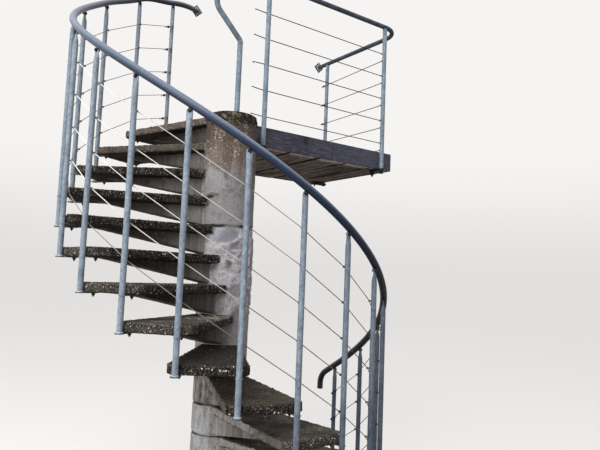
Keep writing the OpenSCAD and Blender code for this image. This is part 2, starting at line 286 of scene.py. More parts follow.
class Finish(Wiring):
    """A procedural surface, read from the place on the stair."""

    def __init__(self, name, roughness, metallic=0.0, specular=0.5):
        self.material = bpy.data.materials.new(name)
        self.material.use_nodes = True
        super().__init__(self.material.node_tree)
        self.tree.nodes.clear()
        self.surface = self.add("ShaderNodeBsdfPrincipled", {
            "Roughness": roughness, "Metallic": metallic, "Specular IOR Level": specular})
        self.add("ShaderNodeOutputMaterial", {0: Value(self, self.surface.outputs[0])})
        place = self.out("ShaderNodeTexCoord", output="Object")
        self.locate(place, self.out("ShaderNodeNewGeometry", output="Normal"))

    def ramp(self, value, *stops):
        node = self.add("ShaderNodeValToRGB", {0: value})
        elements = node.color_ramp.elements
        while len(elements) < len(stops):
            elements.new(0.5)
        for element, (position, code) in zip(elements, stops):
            element.position = position
            element.color = srgb(code)
        return Value(self, node.outputs[0])

    def layers(self, colour, *coats):
        """Lays coats over a colour, each given as how strongly it covers, its tone and how it blends."""
        for amount, *tone in coats:
            colour = self.mix(amount, colour, *tone)
        return colour

    def cells(self, scale):
        """Distance from the middle of each cell, and three random numbers for it."""
        node = self.add("ShaderNodeTexVoronoi", {"Vector": self.place, "Scale": scale})
        return Value(self, node.outputs["Distance"]), self.split(Value(self, node.outputs["Color"]))

    def done(self, colour, height, distance, strength, roughness=None):
        """Gives the surface its colour, its fine relief and its gloss, and returns the material."""
        relief = {"Height": height, "Distance": distance, "Strength": strength}
        ends = {"Base Color": colour, "Normal": self.out("ShaderNodeBump", relief)}
        if roughness:
            ends["Roughness"] = roughness
        for key, value in ends.items():
            self.tree.links.new(value.socket, self.surface.inputs[key])
        return self.material


class ShapeTree(Wiring):
    """Shapes a mesh: a geometry input, named inputs for its sizes and one output."""

    def __init__(self, name, **inputs):
        super().__init__(bpy.data.node_groups.new(name, "GeometryNodeTree"))
        face = self.tree.interface
        for label, kind in {"Geometry": "Geometry", **inputs}.items():
            face.new_socket(label, in_out="INPUT", socket_type="NodeSocket" + kind)
        face.new_socket("Geometry", in_out="OUTPUT", socket_type="NodeSocketGeometry")
        self.given = self.add("NodeGroupInput").outputs
        self.result = self.add("NodeGroupOutput").inputs[0]
        self.locate(self.out("GeometryNodeInputPosition"), self.out("GeometryNodeInputNormal"))

    def __getitem__(self, name):
        return Value(self, self.given[name])

    def moved(self, shape, offset):
        return self.out("GeometryNodeSetPosition", {"Geometry": shape, "Offset": offset})

    def stored(self, name, kind):
        return self.out("GeometryNodeInputNamedAttribute", {"Name": name}, data_type=kind)

    def drawn(self, low, high, seed):
        """A random number between two, for each element."""
        return self.out("FunctionNodeRandomValue", {2: low, 3: high, "Seed": seed}, 1, data_type="FLOAT")

    def deliver(self, shape, finish, chosen=None, other=None):
        """Ends the tree in real copies with their finish, and another finish on the chosen ones."""
        shape = self.out("GeometryNodeRealizeInstances", {"Geometry": shape})
        shape = self.out("GeometryNodeSetMaterial", {"Geometry": shape, "Material": finish})
        if chosen:
            shape = self.out("GeometryNodeSetMaterial", {
                "Geometry": shape, "Selection": chosen, "Material": other})
        self.tree.links.new(shape.socket, self.result)
        return self


def smooth_patches(w, wobble):
    """Places on the column where the mortar was trowelled smooth."""
    return w.patch(-123, 2.108, 0.082, 1.55, wobble) | w.patch(-94, 1.765, 0.042, 1.2, wobble)


def open_joint(w):
    """How open a joint between two drums is: open low down, faint at one, open at another and at a notch."""
    patchy = w.noise(8, 3, 0.5, shift=(9, 2, 4)).above(0.40, 0.54)
    low = w.z.below(1.30, 1.34)
    faint = w.z.between(1.76, 1.78, 1.82, 1.84) * 0.3
    middle = w.z.between(2.12, 2.14, 2.18, 2.20)
    notch = w.patch(-168, 2.34, 0.034, 1.0, w.noise(30, 3)) * 0.9
    return (low + faint + (middle + notch)) * (patchy * 0.6 + 0.4)


def from_joint(w, shift=0.5):
    """How far a level is from the nearest joint of the column, as a share of the riser."""
    return abs(w.math("FRACT", w.z / RISER + shift) - 0.5)


def wrinkles(w):
    return w.noise(20, 3, 0.5, stretch=(1, 1, 2.6), shift=(2, 0, 5))


def every(step, count, which):
    """1 on each step whose number leaves the given rest."""
    rest = step.wiring.math("FLOORED_MODULO", step, count)
    return abs(rest - which).below(0.2, 0.4)


def tread_edge_tone(s):
    """Dark washed concrete with pale dashes, worn lighter at the tips and on the top steps."""
    dashes = s.noise(62, 3, 0.6, stretch=(1, 1, 0.24), shift=(1, 3, 0)).above(0.57, 0.66)
    darker = every(s.step, 5, 3) | every(s.step, 5, 2)
    tips = s.radius.stray(s.spots, 0.2).above(0.84, 0.98) * (1.0 - darker)
    tips = tips * (s.blotch.above(0.42, 0.58) * 0.35 + (s.z.above(2.55, 2.65) * 0.4 + 0.15))
    flecks = s.noise(120, 4, 0.75, shift=(6, 2, 2))
    ends = s.radius.above(0.925, 0.955) * (1.0 - darker * 0.6)
    return s.layers(
        s.ramp(s.spots, (0.34, "14110f"), (0.5, "25201c"), (0.66, "433a32")),
        (s.blotch.above(0.56, 0.66) * 0.5, "26291a"),
        (s.drips.above(0.52, 0.62) * 0.6, "110f0d"),
        (dashes * 0.5, "7d7366"),
        (tips, "827a72"),
        (darker * 0.35, "141211"),
        (flecks.below(0.46, 0.52) * ends * 0.75, "191512"),
        (flecks.above(0.55, 0.62) * ends * 0.45, "a89f94"),
        (s.z.above(2.60, 2.68) * 0.48 + s.z.above(2.78, 2.82) * 0.25, "8a7e74"),
        (s.pebbles * 0.8, s.stones))


def back_edge_tone(s):
    """Back edge of each tread, cast against the mould: paler on the lowest steps, mossy further out."""
    moss = s.noise(24, 5, 0.7, shift=(3, 1, 6))
    return s.layers(
        s.ramp(s.noise(14, 5, 0.6, shift=(2, 2, 2)), (0.36, "6b6158"), (0.5, "8f857a"), (0.64, "aaa195")),
        (s.z.below(1.05, 1.15) * 0.75, "a9a5a1"),
        (moss.above(0.50, 0.60) * 0.40, "68635a"),
        (s.radius.stray(moss, 0.5).above(0.50, 0.86) * 0.70, "423d36"),
        (s.drips.above(0.50, 0.62) * 0.4, "4a433d"),
        (s.spots.above(0.58, 0.66) * 0.4, "38322d"))


def tread_top_tone(s):
    """Walked surface: worn grey, on some steps brown or almost black with damp, with painted shade near the
    column.
    """
    grains = s.noise(95, 4, 0.7, shift=(8, 8, 0))
    return s.layers(
        s.ramp(s.noise(6.5, 6, 0.62), (0.34, "2b2825"), (0.5, "514b45"), (0.64, "746d65")),
        (s.spots.above(0.58, 0.70) * 0.45, "8a837c"),
        (every(s.step, 5, 2) * 0.55, s.mix(s.spots, "2b241e", "55493c")),
        (every(s.step, 5, 3) * 0.88, s.mix(s.spots, "171717", "2e2d2c")),
        # Painted shade on the top near the column, under the overhang of the step above
        (s.radius.stray(s.spots, 0.2).below(0.26, 0.55) * 0.45, "1a1715"),
        (grains.above(0.52, 0.60) * 0.28, "8f867c"),
        (grains.below(0.40, 0.48) * 0.45, "171412"),
        (s.pebbles * 0.22, s.stones))


def rib_tone(s, underneath):
    """Smooth rib: pale at the column and on the lowest steps, stained darker towards its tip."""
    stripes = s.noise(26, 3, 0.5, stretch=(1, 1, 0.05), shift=(5, 0, 2))
    return s.layers(
        s.ramp(s.radius, (0.17, "908c89"), (0.28, "7c7875"), (0.45, "605a56"), (0.8, "463f3b")),
        (s.z.below(1.05, 1.15) * 0.45, "a3a09e"),
        (s.z.above(2.35, 2.55) * 0.35, "4c4440"),
        (s.z.above(2.62, 2.72) * 0.6, "3a332f"),
        (stripes.above(0.50, 0.60) * 0.35, "3f3733"),
        (s.drips.above(0.46, 0.62) * 0.35, "3d3633"),
        (s.spots.above(0.58, 0.7) * 0.35, "aaa29d"),
        (underneath * 0.4, "8f8781"))


def bared_stones(s, mottle):
    """Where the column's head has lost its skin and shows its stones, and the stones' tone."""
    stone, shade = s.cells(88)
    bared = stone.below(0.36, 0.52) * shade[1].above(0.15, 0.30)
    clumps = s.noise(9, 3, 0.5, shift=(0, 4, 8)).above(0.50, 0.58) * s.z.above(2.24, 2.40)
    for turn, z, size in ((-166, 2.63, 0.060), (-106, 2.64, 0.036), (-150, 2.74, 0.055)):
        clumps = clumps | s.patch(turn, z, size, 1.0, mottle)
    return clumps * bared * 0.75, s.mix(shade[0], "80766c", "ddd8d0")


def column_tone(s):
    """The column from its pale foot, past one brown drum and the white mortar, to its brown crusted head."""
    mottle = s.noise(16, 6, 0.7, shift=(2, 8, 1))
    foot = s.z.below(1.074, 1.080)
    high = s.z.above(2.18, 2.70)
    mortar = s.z.between(1.56, 1.64, 2.12, 2.16)
    scratches = s.noise(34, 5, 0.7, stretch=(1, 1, 0.3), shift=(7, 0, 0))
    runs = s.noise(15, 4, 0.6, stretch=(1, 1, 0.16), shift=(4, 9, 1))
    streak = s.patch(-126, 2.64, 0.034, 0.18, mottle) * s.drips.above(0.36, 0.48)
    moss = s.noise(12, 4, 0.6, stretch=(1, 1, 0.2), shift=(3, 1, 7))
    hollow = s.noise(23, 4, 0.6, shift=(6, 6, 2)).above(0.59, 0.63)
    shaft = s.ramp(
        s.z.stray(s.blotch, 0.14) * (1 / 2.9), (0.0, "acacae"), (0.36, "b4b4b5"), (0.44, "a29d9e"),
        (0.56, "aea9ad"), (0.72, "aaa6aa"), (0.76, "989597"), (0.85, "8f8c8e"), (0.895, "80766f"),
        (0.935, "665c53"), (1.0, "544c44"))
    brown = s.ramp(scratches, (0.36, "4a433f"), (0.5, "847c77"), (0.64, "b0a8a2"))
    crust = s.ramp(s.spots, (0.40, "141210"), (0.52, "302a25"), (0.64, "857b6d"))
    marks = (
        (-98, 2.044, 0.052, 2.0, "85858b"), (-112, 1.935, 0.020, 1.0, "5f5c61"),
        (-92, 1.975, 0.014, 1.0, "6c6a6e"))
    return s.layers(
        shaft,
        (s.z.between(1.080, 1.086, 1.258, 1.266), brown),
        (scratches.above(0.50, 0.60) * foot * 0.55, "6d6a69"),
        (runs.above(0.50, 0.56) * foot * 0.5, "84817f"),
        (mottle.above(0.52, 0.66) * 0.45, "bfb6ae", "MULTIPLY"),
        bared_stones(s, mottle),
        ((s.drips.above(0.48, 0.62) * high | streak) * 0.65, "59493a"),
        (s.patch(-162, 2.43, 0.095, 1.0, mottle) * 0.45, "b4b0b4"),
        (moss.above(0.52, 0.66) * s.z.above(2.35, 2.8) * 0.5, "5a5030"),
        (s.noise(85, 3, 0.7).above(0.61, 0.68) * (high * 0.5 + 0.25), "47403a"),
        (s.noise(17, 4, 0.55).above(0.42, 0.50) * mortar * 0.8, "c8c3c9"),
        (hollow * mortar * 0.6, "7a7577"),
        (smooth_patches(s, s.blotch), s.mix(s.blotch.above(0.38, 0.62), "8f9198", "b0b1b8")),
        (s.patch(-84, 1.61, 0.055, 0.7, s.blotch) * 0.8, "928b90"),
        *((s.patch(turn, z, size, flat, mottle) * 0.75, tone) for turn, z, size, flat, tone in marks),
        # Painted shade in a shallow hollow of the mortar
        (s.patch(-96, 2.36, 0.075, 1.7, mottle) * mottle.above(0.40, 0.56) * 0.5, "746f6d"),
        (wrinkles(s).above(0.54, 0.60) * s.patch(*CREASED, 0.090, 1.0, mottle) * 0.4, "6f6a68"),
        # Painted shadow: a dark crescent under the bulge
        (s.patch(-158, 2.352, 0.055, 3.4, mottle) * 0.65, "57504c"),
        (s.z.stray(mottle, 0.22).above(2.78, 2.84) * 0.9, crust))


def casting_finish():
    """Weathered precast concrete: aggregate on the treads, smooth ribs, a patched and streaked column."""
    s = Finish("weathered_casting", 0.9, specular=0.12)
    count = s.z / RISER
    s.level = s.math("FRACT", count)
    s.step = s.math("CEIL", count - 0.012)
    s.blotch = s.noise(7, 5)
    s.spots = s.noise(38, 5, 0.65)
    s.drips = s.noise(30, 4, 0.6, stretch=(1, 1, 0.09))
    grit = s.noise(170, 3, 0.6)
    pebble, shade = s.cells(150)
    s.pebbles = pebble.below(0.25, 0.42)
    s.stones = s.ramp(
        shade[0], (0.0, "171412"), (0.5, "2a2521"), (0.78, "4d453e"), (0.90, "8a847c"), (1.0, "e8e6e2"))
    turn = s.math("RADIANS", s.step * -TURN + (START + TURN / 2))
    turn_x = s.math("COSINE", turn)
    turn_y = s.math("SINE", turn)
    rim = s.level.stray(s.spots, 0.04).above(0.70, 0.73)
    top = s.facing_up.above(0.45, 0.8)
    underneath = s.facing_up.below(-0.8, -0.5)
    edge = tread_edge_tone(s)
    back = (s.normal_y * turn_x - s.normal_x * turn_y).below(-0.90, -0.80)
    # Top arris of each tread: pale as a painted highlight where the edge catches the light, and partly as
    # wear
    lit_arris = s.level.above(0.955, 0.985) * s.facing_up.below(0.2, 0.9)
    worn = s.spots.above(0.46, 0.6) * (every(s.step, 4, 1) * 0.5 + 0.4)
    dry = every(s.step, STEPS, 9) * s.level.above(0.925, 0.95) * s.radius.below(0.50, 0.70)
    tread = s.layers(
        edge,
        (back, back_edge_tone(s)),
        (top, tread_top_tone(s)),
        # Pale arris: painted highlight, broken up by wear
        (lit_arris * worn, "9d968a"),
        (dry * s.spots.above(0.40, 0.52), "b5aea2"))
    soffit = s.ramp(s.noise(11, 6, 0.6), (0.35, "2a2421"), (0.55, "463d38"), (0.7, "5f554e"))
    limb = s.layers(
        rib_tone(s, underneath),
        (underneath * s.level.above(0.66, 0.70), soffit),
        (rim * (1.0 - underneath) | top, tread))
    joint = from_joint(s, (s.spots - 0.5) * 0.07 + 0.5)
    seam = (joint - s.z.above(2.0, 2.1) * 0.024).below(0.010, 0.044) * open_joint(s)
    facing_tread = (s.x * turn_x + s.y * turn_y) / s.radius
    fringe = facing_tread.stray(s.spots, 0.5).above(0.66, 0.92)
    fringe = fringe * s.level.stray(s.spots, 0.25).above(0.70, 0.80)
    off_column = s.radius.stray(s.spots, 0.012).above(0.171, 0.177) * (1.0 - s.patch(*BULGE, 0.080))
    whole = s.layers(
        column_tone(s),
        (s.math("MINIMUM", seam * 0.92, 0.95), "2a2520"),
        (fringe * 0.8, edge),
        (off_column, limb),
        (grit.above(0.42, 0.62) * 0.5, "a49e98", "MULTIPLY"))
    coarse = off_column * (rim | top) | 0.25
    height = s.pebbles * coarse + (s.spots * 1.4 + grit * 0.6)
    return s.done(whole, height - seam * 2.0, 0.003, 0.9)


def pebble_finish():
    """Single stones of the aggregate, most of them dark, a little duller higher up the stair."""
    s = Finish("aggregate_pebbles", 0.75)
    tint = s.out("ShaderNodeAttribute", output="Fac", attribute_name="pebble_tint")
    tint = tint * (1.0 - (s.z.above(1.35, 1.50) * 0.05 + s.z.above(2.0, 2.3) * 0.025))
    colour = s.ramp(
        tint, (0.0, "191614"), (0.5, "302a26"), (0.8, "575047"), (0.92, "98928a"), (0.95, "e6e4e0"))
    speck = s.noise(420, 2)
    return s.done(s.mix(speck.above(0.5, 0.7) * 0.5, colour, "7d766c", "MULTIPLY"), speck, 0.0006, 0.6)


def slab_finish():
    """Board-marked concrete: grey, walked top and stained brown underside with a dark line at each board."""
    s = Finish("board_marked_slab", 0.92, specular=0.12)
    spots = s.noise(30, 5, 0.65)
    grain = s.noise(14, 6, 0.6, stretch=(7, 0.5, 1))
    stain = s.noise(4.5, 5, 0.6, stretch=(1.5, 0.6, 1))
    edge = abs(s.math("FRACT", (s.x + BOARD_SHIFT) / BOARD) - 0.5)
    limed = s.noise(26, 4, 0.6, shift=(1, 6, 3)).above(0.56, 0.62) * s.y.below(0.15, 0.24)
    lip = s.y.stray(spots, 0.10).below(0.14, 0.18) * s.x.above(0.25, 0.40)
    under = s.layers(
        s.ramp(grain, (0.3, "352c28"), (0.5, "6a5e57"), (0.7, "a0948a")),
        (edge.above(0.30, 0.42) * 0.30, "9c9085"),
        (stain.above(0.52, 0.62) * 0.7, "241e1b"),
        (limed * 0.7, "c4bdb4"),
        (s.noise(6, 4, shift=(4, 4, 0)).above(0.56, 0.68) * 0.5, "5a4a2c"),
        (lip * 0.9, s.mix(spots.above(0.35, 0.65), "9a8577", "e8dacd")),
        (edge.stray(stain, 0.16).above(0.40, 0.46), "120e0c"))
    walked = s.ramp(s.noise(5, 6, 0.6), (0.35, "55504b"), (0.5, "6f6a64"), (0.66, "8a857f"))
    walked = s.mix(spots.above(0.56, 0.68) * 0.4, walked, "454039")
    return s.done(s.mix(s.facing_up.above(-0.3, 0.4), under, walked), grain + spots * 0.8, 0.003, 0.8)


def facing_finish():
    """Dark slate paint on the landing's edge, with a stain, a joint line and drips."""
    s = Finish("slate_facing", 0.62, specular=0.3)
    fibres = s.noise(24, 6, 0.7, stretch=(0.7, 0.7, 3.2))
    cloud = s.noise(6, 4)
    stain = abs(s.x - 0.657).stray(cloud, 0.06).below(0.012, 0.045) * s.z.above(2.79, 2.85)
    drip = s.z.below(2.755, 2.775) * s.noise(30, 3, stretch=(1, 1, 0.2)).above(0.52, 0.6)
    colour = s.layers(
        s.ramp(fibres, (0.32, "262634"), (0.5, "3d3d4c"), (0.66, "5a5a6b")),
        (cloud.above(0.5, 0.7) * 0.4, "31313c"),
        (s.x.above(0.70, 1.30) * 0.35, "565868"),
        (stain * 0.85, "18161b"),
        (abs(s.x - FACING_JOINT).below(0.0012, 0.0026), "141216"),
        (s.z.above(2.872, 2.888) * s.noise(40, 4).above(0.5, 0.62) * 0.7, "201e22"),
        (drip * 0.7, "3a2b25"))
    return s.done(colour, fibres + s.noise(150, 2) * 0.3, 0.0018, 0.7)


def brushed(name, wear, chip, tone):
    """Brushed paint on steel tube: its tone, small chips to dark metal and faint runs down its length."""
    s = Finish(name, PAINT_GLOSS, specular=0.22)
    s.cloud = s.noise(11, 4, 0.6)
    s.runs = s.noise(70, 4, 0.6, stretch=(1, 1, 0.06))
    chips = s.noise(120, 4, 0.7).above(wear, wear + 0.03) * s.cloud.above(0.44, 0.6)
    relief = s.runs * 0.5 + (1.0 - chips) * 0.6
    return s.done(s.mix(chips * 0.85, tone(s), chip), relief, 0.0007, 0.5, chips * 0.35 + PAINT_GLOSS)


def upright_finish(name, light, dark, chip, painted_shade=None):
    """Paint of the upright tubes, mottled by the weather, with painted shade over a part where it is given.
    """

    def tone(s):
        worn = s.noise(75, 4, 0.7, stretch=(1, 1, 0.6), shift=(2, 5, 8))
        colour = s.layers(
            s.mix(s.cloud.above(0.36, 0.66), dark, light),
            (s.runs.above(0.5, 0.66) * 0.30, "c3ccd6", "MULTIPLY"),
            (worn.above(0.54, 0.62) * 0.30, "b4bfcb"),
            (worn.below(0.38, 0.46) * 0.45, "a9adb2", "MULTIPLY"))
        # Darkens the paint where the painted shade lies, if one is given
        return s.mix(painted_shade(s), colour, "a8adb4", "MULTIPLY") if painted_shade else colour

    return brushed(name, 0.66, chip, tone)


def lower_right(s):
    """Painted shade on the balusters' paint: none on the left, more and more towards the lower right, and
    more at the feet of those under the treads.
    """
    painted_shade = s.x.above(-0.25, 0.05) * 0.45 + s.x.above(0.45, 0.85) * 0.55
    # Painted shade at the feet of the balusters that stand under the treads above
    foot = s.x.above(-0.30, -0.20) * s.z.below(1.16, 1.30) * 0.5
    return s.math("MINIMUM", painted_shade * s.z.below(2.80, 3.00) + foot, 1.0)


def landing_rail_tone(s):
    """Dark paint of the landing's rail, paler on the slant that leads up to it."""
    share = s.cloud.above(0.36, 0.66)
    sheen_and_pale_slant = s.x.below(0.05, 0.09) * s.z.below(3.78, 3.88)
    return s.mix(sheen_and_pale_slant, s.mix(share, "343b47", "4d5665"), s.mix(share, "5f6c77", "7b8994"))


def handrail_finish():
    """The handrail's paint: dark blue, with a painted sheen on its top and painted shade beneath, darker
    towards its lower end and almost black there.
    """
    s = Finish("handrail_paint", 0.42, specular=0.35)
    cloud = s.noise(12, 4, 0.6)
    fine = s.noise(90, 4, 0.65)
    height = s.z.stray(cloud, 0.3) * 0.25
    # Tone of the faces turned down, painted shade, darker towards the rail's lower end
    below = s.ramp(
        height, (0.30, "1a1d25"), (0.475, "1e2533"), (0.60, "25324a"), (0.72, "374355"), (0.8, "4b566a"),
        (1.0, "353a45"))
    # Tone of the faces turned up, a painted sheen, darker towards the lower end too
    sheen_and_pale_slant = s.ramp(
        height, (0.30, "474d5c"), (0.46, "454d5a"), (0.54, "5b6a7e"), (0.625, "7b889e"), (0.67, "707c92"),
        (0.76, "6d7889"), (0.82, "7c8698"), (0.89, "747b88"), (1.0, "858994"))
    scuff = s.noise(60, 5, 0.7, stretch=(1, 1, 0.5)).above(0.56, 0.7)
    chips = fine.above(0.66, 0.69)
    colour = s.layers(
        below,
        # Painted sheen and shade: faces turned up take the pale tone, faces turned down keep the dark one
        (s.facing_up.stray(fine, 0.5).above(-0.20, 0.72), sheen_and_pale_slant),
        (scuff * 0.30, "a9afba", "MULTIPLY"),
        (chips * 0.6, "2b2a2e"))
    return s.done(colour, fine * 0.4 + chips * -0.5, 0.0006, 0.4, scuff * 0.15 + 0.38)


def rope_finish(name, left_tone):
    """Galvanised wire rope: bright on the left of the stair and greyer towards the right and at the back, as
    painted light and shade, and dark on the landing.
    """
    s = Finish(name, 0.45, 0.1)
    dirt = s.noise(16, 4, 0.6)
    fine = s.noise(600, 2)
    # Painted shade on the ropes right of the seventh post and at the back of the stair
    rope_shade = s.x.stray(dirt, 0.2).above(-0.16, -0.08) | (s.y + dirt * 0.3).above(0.35, 0.75)
    # Painted light and shade: whitest at the far left, greyer further right
    towards_column = s.ramp(
        s.x + 1.0, (0.04, "ffffff"), (0.13, "dedcdc"), (0.30, "ceccce"), (0.56, "b8b5b7"))
    colour = s.layers(
        s.mix(dirt.above(0.54, 0.70) * 0.4, left_tone, "a1988b"),
        (1.0, towards_column, "MULTIPLY"),
        # Painted shade on the ropes right of the middle, a little lighter higher up
        (s.x.above(-0.44, -0.38), s.mix(s.z.above(1.70, 2.05), "6b645c", "a89d92")),
        (rope_shade, s.mix(dirt.above(0.44, 0.60), "4a4642", "6f6a63")),
        (s.z.above(2.98, 3.0) * s.x.above(0.10, 0.14), "18181b"),
        (fine.above(0.5, 0.7) * 0.3, "8a8478", "MULTIPLY"))
    return s.done(colour, fine, 0.0003, 0.5)


def steel_finish(name, light, dark, roughness=0.5, metallic=0.3):
    s = Finish(name, roughness, metallic)
    cloud = s.noise(70, 5, 0.65)
    return s.done(s.mix(cloud.above(0.38, 0.64), dark, light), cloud, 0.0005, 0.5)


CASTING = casting_finish()
PEBBLES = pebble_finish()
SLAB = slab_finish()
FACING = facing_finish()
BALUSTER = upright_finish("baluster_paint", "88939f", "76818e", "484c52", lower_right)
LANDING_TUBE = brushed("landing_rail_paint", 0.62, "232225", landing_rail_tone)
POST = upright_finish("landing_post_paint", "86939e", "6f7e8b", "3a3d43")
HANDRAIL = handrail_finish()
ROPE = rope_finish("galvanised_rope", "faf7f0")
DULL_ROPE = rope_finish("dull_rope", "968b80")
BRACKET = steel_finish("bracket_steel", "6a717b", "45474d", 0.6)
BOLT = steel_finish("black_bolt", "2a2a2d", "131214", 0.45, 0.5)
DISC = steel_finish("foot_disc", "c6ccd4", "98a1ac", 0.45, 0.1)
PLATE_PAINT = steel_finish("wall_plate_paint", "33363e", "22242a", 0.5, 0.1)
SCREW = steel_finish("plate_screw", "c2c5cc", "8d9199", 0.45, 0.2)


def put(name, data):
    """Adds an object to the scene."""
    body = bpy.data.objects.new(name, data)
    bpy.context.scene.collection.objects.link(body)
    return body


def finished_mesh(body):
    """Plain mesh of an object with its modifiers worked in."""
    return bpy.data.meshes.new_from_object(body.evaluated_get(bpy.context.evaluated_depsgraph_get()))


def grow(name, mesh, tree, **values):
    """Runs a shape tree on a mesh, and keeps the plain mesh that comes out."""
    body = put(name, mesh)
    modifier = body.modifiers.new("shape", "NODES")
    modifier.node_group = tree.tree
    for item in tree.tree.interface.items_tree:
        if item.in_out == "INPUT" and item.name in values:
            modifier[item.identifier] = values[item.name]
    shape = finished_mesh(body)
    body.modifiers.clear()
    body.data = shape
    return body


def settle(body, slot, *nodes, sharp=35):
    """Finishes a piece: shading, body and the solids that it stands for; its slot is not used."""
    body.data.shade_smooth()
    body.data.set_sharp_from_angle(angle=math.radians(sharp))
    body.data.name = body.name
    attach(body, "root")
    if nodes:
        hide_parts(*nodes)


class Form:
    """Gathers the closed shapes of one piece, each with its finish."""

    def __init__(self):
        self.points, self.faces, self.tones = [], [], []

    def loft(self, rings, tone=0, closed=False):
        """Joins rings of equal size, and closes both ends or leads the last ring back to the first."""
        start = len(self.points)
        count, total = len(rings[0]), len(rings)
        faces = [] if closed else [range(count - 1, -1, -1)]
        for i in range(total if closed else total - 1):
            a, b = i * count, (i + 1) % total * count
            faces += [(a + k, a + (k + 1) % count, b + (k + 1) % count, b + k) for k in range(count)]
        if not closed:
            faces.append([(total - 1) * count + k for k in range(count)])
        self.points += [point for ring in rings for point in ring]
        self.faces += [[start + i for i in face] for face in faces]
        self.tones += [tone] * len(faces)

    def turned(self, base, axis, profile, sides=24, tone=0):
        """Round shape on an axis from pairs of distance along it and radius."""
        base, axis = Vector(base), Vector(axis).normalized()
        across = axis.orthogonal().normalized()
        over = axis.cross(across)
        self.loft([circle(base + axis * rise, across, over, radius, sides) for rise, radius in profile], tone)

    def rod(self, a, b, radius, sides=16, tone=0, chamfer=0.001):
        length = (b - a).length
        self.turned(a, b - a, [
            (0, radius - chamfer), (chamfer, radius), (length - chamfer, radius),
            (length, radius - chamfer)], sides, tone)

    def hexagon(self, base, axis, width, height, tone=0):
        """Bolt head or nut, its width across the corners, with a chamfered outer edge."""
        half = width / 2
        self.turned(base, axis, [(0, half), (height * 0.75, half), (height, half * 0.86)], 6, tone)

    def bar(self, centre, x_dir, y_dir, sizes, tone=0, chamfer=0.0012):
        """Flat bar or block with chamfered edges on its long sides."""
        a, b = Vector(x_dir).normalized(), Vector(y_dir).normalized()
        c = a.cross(b)
        half_x, half_y, half_z = (size / 2 for size in sizes)
        e = min(chamfer, half_x * 0.4, half_y * 0.4, half_z * 0.4)
        rings = []
        for depth, inset in ((-half_z, e), (-half_z + e, 0), (half_z - e, 0), (half_z, e)):
            w, h = half_x - inset, half_y - inset
            outline = (
                (-w, -h + e), (-w + e, -h), (w - e, -h), (w, -h + e),
                (w, h - e), (w - e, h), (-w + e, h), (-w, h - e))
            rings.append([Vector(centre) + a * u + b * v + c * depth for u, v in outline])
        self.loft(rings, tone)

    def mesh(self, name, *finishes):
        mesh = bpy.data.meshes.new(name)
        mesh.from_pydata(self.points, [], self.faces)
        for finish in finishes:
            mesh.materials.append(finish)
        mesh.polygons.foreach_set("material_index", self.tones)
        mesh.update()
        return mesh

    def piece(self, name, slot, *nodes, finishes=(), sharp=35):
        settle(put(name, self.mesh(name, *finishes)), slot, *nodes, sharp=sharp)


def line_mesh(name, runs):
    """Mesh of open polylines, one for each run of points."""
    points, edges = [], []
    for run in runs:
        start = len(points)
        points += run
        edges += [(start + i, start + i + 1) for i in range(len(run) - 1)]
    mesh = bpy.data.meshes.new(name)
    mesh.from_pydata(points, edges, [])
    return mesh


def cast_surface(node, cell, turn=0.0, rise=0.0):
    """Even mesh over a solid, brought back to its mould, its edges slightly rounded as they leave it."""
    shape = bmesh.new()
    shape.from_mesh(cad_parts[node].data)
    bmesh.ops.remove_doubles(shape, verts=shape.verts, dist=1e-5)
    back = Matrix.Rotation(-math.radians(turn), 4, "Z") @ Matrix.Translation((0, 0, -rise))
    bmesh.ops.transform(shape, verts=shape.verts, matrix=back)
    mesh = bpy.data.meshes.new(node + "_shape")
    shape.to_mesh(mesh)
    shape.free()
    body = put("casting", mesh)
    skin = body.modifiers.new("skin", "REMESH")
    skin.mode = "VOXEL"
    skin.voxel_size = cell
    soften = body.modifiers.new("soften", "SMOOTH")
    soften.factor = 0.5
    soften.iterations = 1
    surface = finished_mesh(body)
    bpy.data.objects.remove(body)
    return surface


